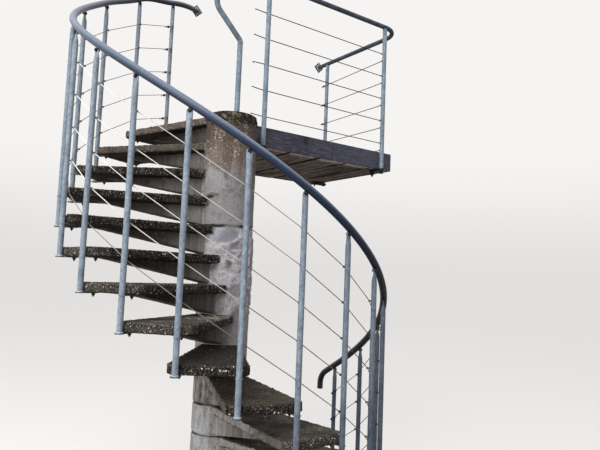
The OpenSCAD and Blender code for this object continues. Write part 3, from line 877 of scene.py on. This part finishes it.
def weathering_tree():
    """Turns a casting into place, wears its skin and sets pebbles into the edges and top of the tread."""
    w = ShapeTree(
        "weathered_casting", turn="Float", rise="Float", wear="Float", pebbles="Float", pebble_size="Float",
        seed="Int")
    placed = w.out("GeometryNodeTransform", {
        "Geometry": w["Geometry"], "Translation": w.join(0.0, 0.0, w["rise"]),
        "Rotation": w.join(0.0, 0.0, w["turn"])})
    on_tread = (w.z - w["rise"] > -TREAD_T - 0.0025) * (w.radius > HUB_R + 0.006)
    broad = w.noise(13, 3) - 0.5
    coarse = w.noise(62, 3, 0.6) - 0.5
    rounded = on_tread * abs(w.facing_up).between(0.2, 0.45, 0.75, 0.97)
    chips = rounded * w.noise(21, 4, 0.6).above(0.53, 0.62)
    swell = broad * 0.9 + coarse * (on_tread * 1.3 + 0.5)
    at_joint = from_joint(w).below(0.03, 0.07) * (w.radius < HUB_R + 0.001)
    lift = swell * w["wear"] - chips * (w["wear"] * 1.6) - at_joint * open_joint(w) * 0.003
    worn = w.moved(placed, w.vector("SCALE", w.normal, lift))
    forward = w.normal_y * w.math("COSINE", w["turn"]) - w.normal_x * w.math("SINE", w["turn"])
    edge = w.facing_up.below(0.5, 0.8) * (w.facing_up > -0.75) * forward.above(-0.88, -0.78)
    share = on_tread * (edge + w.facing_up.above(0.5, 0.8) * 0.035)
    scattered = w.add("GeometryNodeDistributePointsOnFaces", {
        "Mesh": worn, "Density": share * w["pebbles"], "Seed": w["seed"]}).outputs
    size = w.out("FunctionNodeRandomValue", {
        0: (0.5, 0.45, 0.35), 1: (2.0, 1.5, 0.8), "Seed": w["seed"]}, data_type="FLOAT_VECTOR")
    stones = w.out("GeometryNodeInstanceOnPoints", {
        "Points": Value(w, scattered["Points"]),
        "Instance": w.out("GeometryNodeMeshIcoSphere", {"Radius": 1.0, "Subdivisions": 1}, "Mesh"),
        "Rotation": Value(w, scattered["Rotation"]), "Scale": w.vector("SCALE", size, w["pebble_size"])})
    spin = w.join(0.0, 0.0, w.drawn(0.0, math.tau, w["seed"] + 7))
    turned = w.out("GeometryNodeRotateInstances", {"Instances": stones, "Rotation": spin})
    tint = w.drawn(0.01, 1.0, w["seed"] + 3)
    tinted = w.out("GeometryNodeStoreNamedAttribute", {
        "Geometry": turned, "Name": "pebble_tint", "Value": tint}, domain="INSTANCE", data_type="FLOAT")
    both = w.add("GeometryNodeJoinGeometry", {0: tinted})
    w.tree.links.new(worn.socket, both.inputs[0])
    stony = w.stored("pebble_tint", "FLOAT") > 0.0
    return w.deliver(Value(w, both.outputs[0]), CASTING, stony, PEBBLES)


def mortar_tree():
    """Wears the mortar skin: hand-laid lumps, trowelled patches, an open joint, a chipped top edge."""
    w = ShapeTree("mortar_skin", swell="Float", lump="Float", groove="Float")
    laid = w.z.between(1.56, 1.64, 2.08, 2.14)
    heap = w.noise(17, 4, 0.55).above(0.42, 0.60) * (1.0 - smooth_patches(w, w.noise(7, 5)))
    chip = w.z.above(2.845, 2.872) * w.noise(26, 4, 0.6).above(0.5, 0.62)
    lift = (w.noise(7, 3) - 0.5) * w["swell"] + (w.noise(48, 4, 0.6) - 0.5) * 0.004
    lift = lift + heap * laid * w["lump"]
    lift = lift + w.from_spot(*BULGE).below(0.0, 0.095) * 0.013
    lift = lift + w.patch(*CREASED, 0.090, 1.0) * (wrinkles(w) - 0.5) * 0.022
    lift = lift - w.patch(-98, 2.365, 0.055, 1.8) * 0.002
    lift = lift - from_joint(w).below(0.03, 0.07) * open_joint(w) * w["groove"]
    lift = lift - chip * 0.007
    share = lift * w.z.above(1.264, 1.280) / w.radius
    return w.deliver(w.moved(w["Geometry"], w.join(w.x * share, w.y * share, 0.0)), CASTING)


def board_tree():
    """Steps and grooves that the shuttering boards left under the landing."""
    w = ShapeTree("board_marked_slab", board="Float", shift="Float", step="Float", groove="Float")
    count = (w.x + w["shift"]) / w["board"]
    edge = abs(w.math("FRACT", count) - 0.5)
    pick = w.out("ShaderNodeTexWhiteNoise", {"W": w.math("FLOOR", count)}, "Value", noise_dimensions="1D")
    lift = pick * w["step"] + edge.above(0.455, 0.49) * w["groove"]
    lift = (lift + w.noise(18, 4) * 0.002) * (w.z < UNDER_Z + 0.03)
    rough = (w.noise(30, 4) - 0.5) * (w.y.below(WALL_Y - 0.004, WALL_Y - 0.001) * 0.002)
    raised = w.moved(w["Geometry"], w.join(0.0, 0.0, lift))
    return w.deliver(w.moved(raised, w.vector("SCALE", w.normal, rough)), SLAB)


def rope_tree():
    """Lays six strands round the rope's line."""
    w = ShapeTree("laid_rope", radius="Float", lay="Float", ring_spacing="Float", finish="Material")
    line = w.out("GeometryNodeMeshToCurve", {"Mesh": w["Geometry"]})
    even = w.out("GeometryNodeResampleCurve", {"Curve": line, "Length": w["ring_spacing"]}, mode="LENGTH")
    twist = w.out("GeometryNodeSplineParameter", output="Length") * math.tau / w["lay"]
    twisted = w.out("GeometryNodeSetCurveTilt", {"Curve": even, "Tilt": twist})
    strands = w.out("GeometryNodeCurveStar", {
        "Points": 6, "Inner Radius": w["radius"] * 0.76, "Outer Radius": w["radius"]})
    laid = w.out("GeometryNodeCurveToMesh", {"Curve": twisted, "Profile Curve": strands, "Fill Caps": True})
    return w.deliver(laid, w["finish"])


def tube_tree():
    """Bends a round tube along a line and trims its far end to the wall plate."""
    w = ShapeTree("bent_tube", radius="Float", sides="Int", wall="Float", run="Vector", finish="Material")
    line = w.out("GeometryNodeMeshToCurve", {"Mesh": w["Geometry"]})
    ring = w.out("GeometryNodeCurvePrimitiveCircle", {"Radius": w["radius"], "Resolution": w["sides"]})
    bent = w.out("GeometryNodeCurveToMesh", {"Curve": line, "Profile Curve": ring, "Fill Caps": True})
    past = w.math("MAXIMUM", w.y - w["wall"], 0.0)
    back = past * -1.0 / w.split(w["run"])[1]
    return w.deliver(w.moved(bent, w.vector("SCALE", w["run"], back)), w["finish"])


def setting_out_tree():
    """Puts a copy of one fitting on each point, its Z along facing and its X along upright."""
    w = ShapeTree("set_out_fittings", fitting="Object", finish="Material")
    facing, upright = (w.stored(name, "FLOAT_VECTOR") for name in ("facing", "upright"))
    first = w.out("FunctionNodeAlignRotationToVector", {"Vector": facing}, axis="Z")
    both = {"Rotation": first, "Vector": upright}
    second = w.out("FunctionNodeAlignRotationToVector", both, axis="X", pivot_axis="Z")
    fitting = w.out("GeometryNodeObjectInfo", {"Object": w["fitting"]}, "Geometry")
    copies = w.out("GeometryNodeInstanceOnPoints", {
        "Points": w["Geometry"], "Instance": fitting, "Rotation": second})
    return w.deliver(copies, w["finish"])


LAID_ROPE = rope_tree()
BENT_TUBE = tube_tree()
SET_OUT = setting_out_tree()


def set_out(name, form, spots):
    """One piece of dark fittings, one at each spot, given as place, facing and upright directions."""
    pattern = put(name + "_pattern", form.mesh(name + "_pattern"))
    points = bpy.data.meshes.new(name)
    points.from_pydata([spot[0] for spot in spots], [], [])
    for label, index in (("facing", 1), ("upright", 2)):
        layer = points.attributes.new(label, "FLOAT_VECTOR", "POINT")
        layer.data.foreach_set("vector", [part for spot in spots for part in spot[index]])
    body = grow(name, points, SET_OUT, fitting=pattern, finish=BOLT)
    bpy.data.objects.remove(pattern)
    settle(body, "wire_rope")


def rope(name, runs, node, radius=ROPE_R, finish=ROPE):
    body = grow(
        name, line_mesh(name, runs), LAID_ROPE, radius=radius, lay=LAY, ring_spacing=ROPE_RINGS,
        finish=finish)
    settle(body, "wire_rope", node, sharp=80)


def tube(name, run_points, radius, finish, *nodes, run=Y_DIR):
    body = grow(
        name, line_mesh(name, [run_points]), BENT_TUBE, radius=radius, sides=24, wall=PLATE_FACE,
        run=tuple(run), finish=finish)
    settle(body, "blue_grey_paint", *nodes)


def make_steps():
    """Each step is one casting: drum, tread and rib, with the aggregate showing on the tread."""
    skin = cast_surface("step_08", STEP_CELL, step_turn(8), RISER * 8)
    tree = weathering_tree()
    for step in range(1, STEPS + 1):
        node = f"step_{step:02d}"
        body = grow(
            node + "_casting", skin, tree, turn=math.radians(step_turn(step)), rise=RISER * step,
            wear=0.0026, pebbles=8200.0, pebble_size=0.0033, seed=step)
        settle(body, "aggregate_concrete", node, sharp=60)


def make_mortar_skin():
    """Mortar that covers the upper drums of the column, from the seventh step to the cap."""
    skin = Form()
    profile = [(1.262, 0.1575), (1.266, 0.1600), (1.272, 0.1622)]
    profile += [(1.280 + 0.008 * i, 0.1632) for i in range(196)]
    profile += [
        (2.848, 0.1630), (2.856, 0.1622), (2.863, 0.1610), (2.870, 0.1590), (2.876, 0.1560),
        (2.8805, 0.1520), (2.883, 0.1470)]
    skin.turned((0, 0, 0), UP, profile, 120)
    name = "column_mortar_skin"
    body = grow(name, skin.mesh(name), mortar_tree(), swell=0.010, lump=0.010, groove=0.006)
    settle(body, "aggregate_concrete", sharp=75)


def make_cap():
    """Worn mortar cap that closes the column, slightly uneven round its edge."""
    cap = Form()
    rings = []
    for radius, height in (
            (0.140, -0.004), (0.155, -0.003), (0.157, 0.001), (0.153, 0.0045), (0.143, 0.0068),
            (0.11, 0.0074), (0.06, 0.0078)):
        ring = circle(UP * (RISER * STEPS + height), X_DIR, Y_DIR, radius, 56)
        for k, point in enumerate(ring):
            point.z += 0.0007 * math.sin(7 * math.tau * k / 56 + 40 * radius)
        rings.append(ring)
    cap.loft(rings)
    cap.piece("column_mortar_cap", "aggregate_concrete", "column_cap", finishes=[CASTING], sharp=60)


def make_landing():
    """Slab with board marks underneath, and its painted facing boards."""
    skin = cast_surface("landing_slab", SLAB_CELL)
    body = grow(
        "landing_slab_cast", skin, board_tree(), board=BOARD, shift=BOARD_SHIFT, step=0.005, groove=0.006)
    settle(body, "board_marked_concrete", "landing_slab", sharp=50)
    boards = Form()
    start = math.sqrt((HUB_R + FIT) ** 2 - LANDING_FRONT ** 2) + 0.003
    mid_z = UNDER_Z + LANDING_T / 2
    for x0, x1 in ((start, FACING_JOINT - 0.001), (FACING_JOINT, LANDING_SIDE)):
        middle = ((x0 + x1) / 2, LANDING_FRONT + FACING_T / 2, mid_z)
        boards.bar(middle, X_DIR, UP, (x1 - x0, LANDING_T, FACING_T), chamfer=0.002)
    y0 = LANDING_FRONT + FACING_T + 0.001
    middle = (LANDING_SIDE - FACING_T / 2, (y0 + WALL_Y) / 2, mid_z)
    boards.bar(middle, Y_DIR, UP, (WALL_Y - y0, LANDING_T, FACING_T), chamfer=0.002)
    boards.piece("landing_facing_boards", "slate_paint", "landing_facing", finishes=[FACING])


def baluster(form, post):
    """Tube whose head is pressed flat and bolted to a tab under the handrail, with a disc at its foot."""
    side = outward(post)
    forward = polar(1, post_turn(post) - 90, 0)
    axis = side * GUARD_R
    slope = RAIL_SLOPE if post < POSTS else TOP_SLOPE
    under_rail = rail_z(post) - RAIL_R / math.cos(slope)
    foot = 0.006 if post == 1 else RISER * (post - 1) - TREAD_T
    # Height, half thickness and half width of the tube from its foot to its pressed head
    outline = [(foot, 0.014, 0.014), (foot + 0.001, 0.015, 0.015)]
    outline += [(under_rail - down, thick, wide) for down, thick, wide in (
        (0.085, 0.015, 0.015), (0.070, 0.0143, 0.0152), (0.055, 0.0118, 0.0158), (0.042, 0.0078, 0.0166),
        (0.033, 0.0048, 0.0170), (0.026, 0.0042, 0.0170), (0.012, 0.0042, 0.0165), (0.006, 0.0040, 0.0140),
        (0.003, 0.0032, 0.0085))]
    form.loft([circle(axis + UP * z, side * thick, forward * wide, 1, 20) for z, thick, wide in outline])
    disc_r = 0.024 if post == 1 else 0.0185
    disc_z = 0.0 if post == 1 else foot
    form.turned(axis + UP * disc_z, UP, [(0.0, disc_r), (0.0035, disc_r), (0.0055, 0.0165)], tone=1)
    tilt = (forward + UP * math.tan(slope)).normalized()
    bolt = axis + UP * (under_rail - 0.011)
    for way in (side, -side):
        form.bar(bolt + way * 0.0058, tilt, side.cross(tilt), (0.020, 0.019, 0.0034), tone=2, chamfer=0.003)
        form.hexagon(bolt + way * 0.0070, way, 0.0180, 0.0056, tone=2)
    form.rod(bolt + side * 0.0120, bolt + side * 0.0150, 0.0042, 12, tone=2)


def make_balusters():
    for node, first, last in (
            ("balusters_lower", 1, 4), ("balusters_front", 5, 9), ("balusters_left", 10, 13),
            ("balusters_upper", 14, 17)):
        form = Form()
        for post in range(first, last + 1):
            baluster(form, post)
        form.piece(node + "_tubes", "blue_grey_paint", node, finishes=[BALUSTER, DISC, BOLT])


def eye_fitting(ring_r=0.0052, wire_r=0.0019):
    """Screw eye: shank along Z out of the tube, ring with its hole along X."""
    form = Form()
    form.rod(UP * -0.004, UP * (EYE_REACH - 0.003), 0.0028, 8)
    form.turned(UP * -0.0004, UP, [(0, 0.0052), (0.0016, 0.0052), (0.0022, 0.0042)], 10)
    centre = UP * (EYE_REACH + ROPE_R)
    around = circle(centre, Y_DIR, UP, ring_r, 14)
    form.loft([circle(p, (p - centre).normalized(), X_DIR, wire_r, 6) for p in around], closed=True)
    return form


def rope_clip():
    """Rope grip: a saddle block across two runs of rope, with two small nuts."""
    form = Form()
    form.bar((0, 0, 0), X_DIR, Y_DIR, (0.016, 0.017, 0.010), chamfer=0.002)
    for x in (-0.004, 0.004):
        form.hexagon((x, 0.0, 0.005), UP, 0.007, 0.004)
    return form


def loop_end(before, eye, tail=0.035, reach=0.045):
    """Rope's last run past a grip, round the eye and back to a short tail, with the grip's place and line."""
    line = (eye - before).normalized()
    loop = [
        (reach + 0.012, 0.0), (reach - 0.006, 0.0008), (reach * 0.62, 0.0052), (reach * 0.28, 0.0072),
        (0.004, 0.0042), (0.0, 0.0), (0.004, -0.0042), (reach * 0.28, -0.0072), (reach * 0.62, -0.0065),
        (reach - 0.006, -0.0062), (reach + 0.012, -0.0062), (reach + tail, -0.0085)]
    run = [eye - line * back + UP * rise for back, rise in loop]
    return run, eye - line * (reach + 0.002) - UP * 0.003, line


def make_stair_ropes():
    """Five ropes from the start post to the top post, through an eye on every baluster."""
    clips, eyes = [], []
    for number in range(1, 6):
        stops = [rope_eye(post, number) for post in range(1, POSTS + 1)]
        run = []
        for a, b in zip(stops, stops[1:]):
            run += [a, a.lerp(b, 0.02), a.lerp(b, 0.98)]
        head, head_clip, head_line = loop_end(stops[-2], stops[-1])
        foot, foot_clip, foot_line = loop_end(stops[1], stops[0])
        rope(
            f"stair_rope_{number}", [foot[::-1] + run[2:-1] + head], f"stair_cable_{number}",
            finish=DULL_ROPE if number == 5 else ROPE)
        clips += [(head_clip, -outward(POSTS), head_line), (foot_clip, -outward(1), foot_line)]
        for post in range(1, POSTS + 1):
            slope = (stops[min(post, POSTS - 1)] - stops[max(post - 2, 0)]).normalized()
            eyes.append((polar(GUARD_R - TUBE_R, post_turn(post), stops[post - 1].z), -outward(post), slope))
    set_out("rope_eyes", eye_fitting(), eyes)
    set_out("rope_grips", rope_clip(), clips)


def helix_turn(bay):
    late = max(0.0, min(1.0, bay - STEPS + TURNED_POSTS))
    return START - TURN * bay + TOP_POSTS_TURN * late * late * (3 - 2 * late)


def helix_point(bay):
    """Point of the handrail's line: a helix, and a last bay that flattens towards the landing."""
    late = bay - (STEPS - 1)
    rise = RISER * bay
    if late > 0:
        rise = RISER * (STEPS - 1) + cubic(late, 0.0, RISER, TOP_RISE, TOP_END)
    return polar(GUARD_R, helix_turn(bay), RAIL_HEIGHT + rise)


def make_handrail():
    """Stair handrail: bent free end, helix and the run to its wall plate."""
    start, back = helix_point(0), polar(1, START + 90, 0)
    straight, bend, drop = 0.120, 0.110, 0.040
    level, down = straight * math.cos(RAIL_SLOPE), straight * math.sin(RAIL_SLOPE)

    def bent(angle, below=0.0):
        """Point of the free end's bend, where the rail hangs at an angle."""
        out = level + bend * (math.sin(angle) - math.sin(RAIL_SLOPE))
        return start + back * out - UP * (down + bend * (math.cos(RAIL_SLOPE) - math.cos(angle)) + below)

    path = [bent(math.pi / 2, drop * (1 - i / 3)) for i in range(3)]
    path += [bent(RAIL_SLOPE + (math.pi / 2 - RAIL_SLOPE) * i / 12) for i in range(12, -1, -1)]
    path += [start + back * level * t - UP * down * t for t in (0.66, 0.33)]
    path += [helix_point(i / 12) for i in range(STEPS * 12 + 1)]
    pull = 0.3
    leaving = polar(1, helix_turn(STEPS) - 90, math.tan(TOP_SLOPE)) * pull
    arriving = Vector((0.8, 0.6, 0.2)) * pull
    end = Vector(RAIL_END)
    path += [cubic(i / 12, helix_point(STEPS), leaving, end, arriving) for i in range(1, 13)]
    line = arriving.normalized()
    path[-1] = path[-1] + line * 0.012
    tube("stair_handrail_tube", path, RAIL_R, HANDRAIL, "stair_handrail", run=line)
    plug = Form()
    plug_r = RAIL_R - 0.0035
    plug.turned(path[0] - UP * 0.0015, UP, [(0, RAIL_R - 0.006), (0.0012, plug_r), (0.003, plug_r)])
    plug.piece("handrail_end_plug", "blue_grey_paint", finishes=[BOLT])


def make_wall_plates():
    """Square plates on a corner, each with four screws and a pale ring round the tube whose paleness is a
    painted highlight.
    """
    a, b = Vector((1, 0, 1)).normalized(), Vector((-1, 0, 1)).normalized()
    reach = PLATE * 0.33
    screw = [(-0.004, 0.0055), (0.0010, 0.0058), (0.0024, 0.0046), (0.0030, 0.0022)]
    for name, x, z, node in (
            ("stair_rail_plate", RAIL_END[0], RAIL_END[2], "stair_wall_plate"),
            ("landing_rail_plate", SIDE_X, LANDING_RAIL_Z, "landing_wall_plate")):
        form = Form()
        face = Vector((x, PLATE_FACE, z))
        form.bar((x, WALL_Y - PLATE_T / 2, z), a, b, (PLATE, PLATE, PLATE_T), chamfer=0.0015)
        # Ring round the tube in the pale screw finish, a painted highlight on the dark plate
        form.turned(face, -Y_DIR, [(-0.001, 0.029), (0.0010, 0.029), (0.0018, 0.0275)], 28, tone=1)
        for place in (a + b, a - b, b - a, -a - b):
            form.turned(face + place * reach, -Y_DIR, screw, 14, tone=1)
        form.piece(name, "blue_grey_paint", node, finishes=[PLATE_PAINT, SCREW])


def bracket(form, centre, inward, reach, width, thick, boss, bolt_in, eye=0.0):
    """Flat bar from a post to a bolt in the tread, with its nut and pointed bolt end below."""
    across = UP.cross(inward)
    form.bar(centre + inward * (reach + eye) / 2, inward, across, (reach - eye, width, thick))
    half = thick / 2
    if eye:
        ring = ((-half, boss), (half, boss), (half, eye), (-half, eye))
        form.loft([circle(centre + UP * z, inward, across, r, 24) for z, r in ring], 2, closed=True)
    else:
        form.rod(centre - UP * half, centre + UP * half, boss, 24)
    bolt = centre + inward * bolt_in - UP * half
    form.turned(bolt, -UP, [(0, 0.011), (0.0015, 0.011), (0.002, 0.0105)], 16, tone=1)
    form.hexagon(bolt - UP * 0.002, -UP, 0.018, 0.008, tone=1)
    form.turned(bolt - UP * 0.008, -UP, [(0, 0.0048), (0.007, 0.0048), (0.0105, 0.0018)], 10, tone=1)


def tread_bars(name, node, posts, steps_up, finishes, width, boss, eye=0.0):
    """A bar for each of some posts, under the tread that is steps_up from the one of the post's number."""
    form = Form()
    for post in posts:
        centre = outward(post) * GUARD_R
        centre.z = RISER * (post + steps_up) - TREAD_T - TREAD_BAR_T / 2
        bracket(
            form, centre, -outward(post), reach=0.096, width=width, thick=TREAD_BAR_T, boss=boss,
            bolt_in=0.076, eye=eye)
    form.piece(name, "blue_grey_paint", node, finishes=finishes)


def make_brackets():
    tread_bars(
        "baluster_foot_bars", "foot_brackets", range(2, POSTS + 1), -1, [BRACKET, BOLT],
        width=0.030, boss=0.0229)
    tread_bars(
        "baluster_clamp_bars", "clamp_brackets", range(1, STEPS + 1), 0, [BRACKET, BOLT, BALUSTER],
        width=0.026, boss=0.0185, eye=TUBE_R + FIT)
    landing = Form()
    bolt_in = 0.105
    for x, y, inward in (
            (FRONT_POST_X, POST_Y, Y_DIR), (CORNER_POST_X, POST_Y, Y_DIR), (SIDE_X, WALL_POST_Y, -X_DIR)):
        foot = Vector((x, y, UNDER_Z - SLAB_BAR_T / 2))
        bracket(
            landing, foot, inward, reach=0.130, width=0.060, thick=SLAB_BAR_T, boss=0.025, bolt_in=bolt_in)
        tall = 0.008 if x == SIDE_X else 0.026
        for under in (foot - UP * SLAB_BAR_T / 2, foot + inward * bolt_in - UP * SLAB_BAR_T / 2):
            landing.turned(under, -UP, [(0, 0.0235), (0.0050, 0.0235), (0.0058, 0.0225)], 20, tone=1)
            landing.hexagon(under - UP * 0.0054, -UP, 0.040, tall, tone=1)
        end = [(0, 0.0070), (tall + 0.012, 0.0070), (tall + 0.015, 0.0038)]
        landing.turned(under - UP * 0.005, -UP, end, 12, tone=1)
        landing.bar(foot + inward * 0.052 - UP * 0.009, inward, UP.cross(inward), (0.100, 0.036, 0.010))
    landing.piece("landing_post_bars", "blue_grey_paint", "landing_brackets", finishes=[BOLT, BOLT])


def make_landing_guard():
    """Newel, bent landing rail and its three posts."""
    slant = NEWEL_X - LOOP_X - LOOP_R * (1 - math.cos(math.radians(45)))
    upright_z = MITRE_Z + slant + LOOP_R * math.sin(math.radians(45))
    foot = Vector((NEWEL_X, POST_Y, RISER * STEPS + 0.0075))
    mitre = Vector((NEWEL_X, POST_Y, MITRE_Z))
    rail = [mitre] + arc(LOOP_X + LOOP_R, POST_Y, upright_z, LOOP_R, 225, 180, UP, 8)
    rail += arc(LOOP_X + LOOP_TOP_R, POST_Y, LANDING_RAIL_Z - LOOP_TOP_R, LOOP_TOP_R, 180, 90, UP, 12)
    rail += arc(
        SIDE_X - CORNER_BEND_R, POST_Y + CORNER_BEND_R, LANDING_RAIL_Z, CORNER_BEND_R, -90, 0, Y_DIR, 14)
    rail.append(Vector((SIDE_X, PLATE_FACE, LANDING_RAIL_Z)))
    tube("newel_tube", [foot, mitre - UP * 0.0005], LANDING_RAIL_R, POST, "newel_post")
    tube("landing_rail_tube", rail, LANDING_RAIL_R, LANDING_TUBE, "landing_handrail", "newel_slant")
    top = LANDING_RAIL_Z - LANDING_RAIL_R + 0.004
    tall = top - UNDER_Z
    radius = LANDING_POST_R
    for node, x, y in (
            ("landing_post_front", FRONT_POST_X, POST_Y), ("landing_post_corner", CORNER_POST_X, POST_Y),
            ("landing_post_wall", SIDE_X, WALL_POST_Y)):
        form = Form()
        form.turned((x, y, UNDER_Z), UP, [
            (0, radius - 0.001), (0.001, radius), (tall - 0.012, radius), (tall, radius * 0.9)])
        form.turned((x, y, top - 0.010), UP, [
            (0, radius + 0.001), (0.003, radius + 0.0024), (0.008, radius + 0.0005)])
        form.piece(node + "_tube", "blue_grey_paint", node, finishes=[POST])


def make_landing_ropes():
    """Ropes of the landing guard, with bent tails past the front post and short ones past the wall post."""
    face_y = POST_Y + LANDING_POST_R
    face_x = SIDE_X - LANDING_POST_R
    rope_y = face_y + EYE_REACH + ROPE_R + ROPE_FIT
    rope_x = face_x - EYE_REACH - ROPE_R - ROPE_FIT
    front, side, eyes, clips = [], [], [], []
    for i, bend in enumerate((0.004, 0.010, -0.006, 0.012, 0.007)):
        z = LANDING_RAIL_Z - FIRST_FRONT - ROPE_SPACING * i
        tail = Vector((FRONT_POST_X - 0.095, rope_y, z))
        front.append([
            tail + Vector((0.004, 0.001, bend * 0.9 - 0.007)), tail + UP * bend * 0.6,
            tail + Vector((0.03, 0, bend * 0.3)), Vector((FRONT_POST_X - 0.02, rope_y, z)),
            Vector((CORNER_POST_X - 0.02, rope_y, z)), Vector((CORNER_POST_X + 0.030, rope_y, z))])
        a = Vector((CORNER_POST_X, face_y + EYE_REACH, z - CORNER_DROP))
        b = Vector((rope_x, WALL_POST_Y, z - WALL_DROP))
        line = (b - a).normalized()
        side.append([a, b, b + line * 0.03, b + line * 0.058 - UP * bend * 0.5])
        eyes += [
            ((FRONT_POST_X, face_y, z), Y_DIR, X_DIR), ((CORNER_POST_X, face_y, z), Y_DIR, X_DIR),
            ((CORNER_POST_X, face_y, a.z), Y_DIR, line), ((face_x, WALL_POST_Y, b.z), -X_DIR, line)]
        clips.append((b + line * 0.020, -X_DIR, line))
    rope("landing_ropes_front", front, "landing_cables_front", LANDING_ROPE_R)
    rope("landing_ropes_side", side, "landing_cables_side", LANDING_ROPE_R)
    set_out("landing_rope_eyes", eye_fitting(0.0057), eyes)
    set_out("landing_rope_grips", rope_clip(), clips)


def make_camera():
    """The photograph's viewpoint: eye height, turned towards the column and tipped slightly up."""
    place = (-1.845, -3.2945, 1.867)
    yaw, pitch, roll = (math.radians(v) for v in (36.335, 5.059, 2.242))
    picture_width, focal_length = 600, 586.86
    lens = bpy.data.cameras.new("view")
    lens.sensor_width = 36
    lens.lens = lens.sensor_width * focal_length / picture_width
    lens.clip_start, lens.clip_end = 0.05, 200
    camera = put("view", lens)
    camera.matrix_world = (
        Matrix.Translation(place) @ Matrix.Rotation(-yaw, 4, "Z")
        @ Matrix.Rotation(math.pi / 2 + pitch, 4, "X") @ Matrix.Rotation(roll, 4, "Z"))
    bpy.context.scene.camera = camera


def make_floor():
    """Pale floor, darker where it throws light back on the stair."""
    s = Finish("studio_floor", 0.9)
    seen = s.out("ShaderNodeLightPath", output="Is Camera Ray")
    s.tree.links.new(s.mix(seen, "979593", "f4f2f0").socket, s.surface.inputs["Base Color"])
    mesh = bpy.data.meshes.new("studio_floor")
    mesh.from_pydata([(-30, -30, 0), (30, -30, 0), (30, 30, 0), (-30, 30, 0)], [], [(0, 1, 2, 3)])
    mesh.materials.append(s.material)
    floor = put("studio_floor", mesh)
    floor.location.z = -0.002


def make_light():
    """Overcast sky that is dim below and on the right, and two broad soft lamps from the left."""
    world = bpy.data.worlds.new("overcast")
    bpy.context.scene.world = world
    world.use_nodes = True
    w = Wiring(world.node_tree)
    w.tree.nodes.clear()
    right, depth, height = w.split(w.out("ShaderNodeTexCoord", output="Generated"))
    side = right * 0.81 - depth * 0.59
    sky = w.mix(height.above(-0.1, 0.6), "b2b0ae", "ffffff")
    sky = w.mix(side.above(-0.1, 0.9) * 0.55, sky, "504e4c")
    haze = w.mix(height.above(0.0, 0.22), "e2e0de", "f6f4f2")
    seen, glossy, through = (
        w.out("ShaderNodeLightPath", output=ray)
        for ray in ("Is Camera Ray", "Is Glossy Ray", "Is Transmission Ray"))
    lit, shown = (w.out("ShaderNodeBackground", {0: colour, 1: 1.0}) for colour in (sky, haze))
    w.add("ShaderNodeOutputWorld", {
        0: w.out("ShaderNodeMixShader", {0: seen | (glossy | through), 1: lit, 2: shown})})
    for name, power, size, place in (
            ("high_lamp", 430, 5, (-5.5, -4.5, 7.0)), ("side_lamp", 200, 4, (-7.0, -2.0, 2.6))):
        lamp = bpy.data.lights.new(name, "AREA")
        lamp.energy, lamp.size = power, size
        holder = put(name, lamp)
        holder.location = place
        aim = Vector((0.2, 0.0, 2.0)) - holder.location
        holder.rotation_euler = aim.to_track_quat("-Z", "Y").to_euler()
    bpy.context.scene.view_settings.view_transform = "Standard"


make_camera()
make_floor()
make_light()
make_steps()
make_mortar_skin()
make_cap()
make_landing()
make_balusters()
make_stair_ropes()
make_handrail()
make_wall_plates()
make_brackets()
make_landing_guard()
make_landing_ropes()
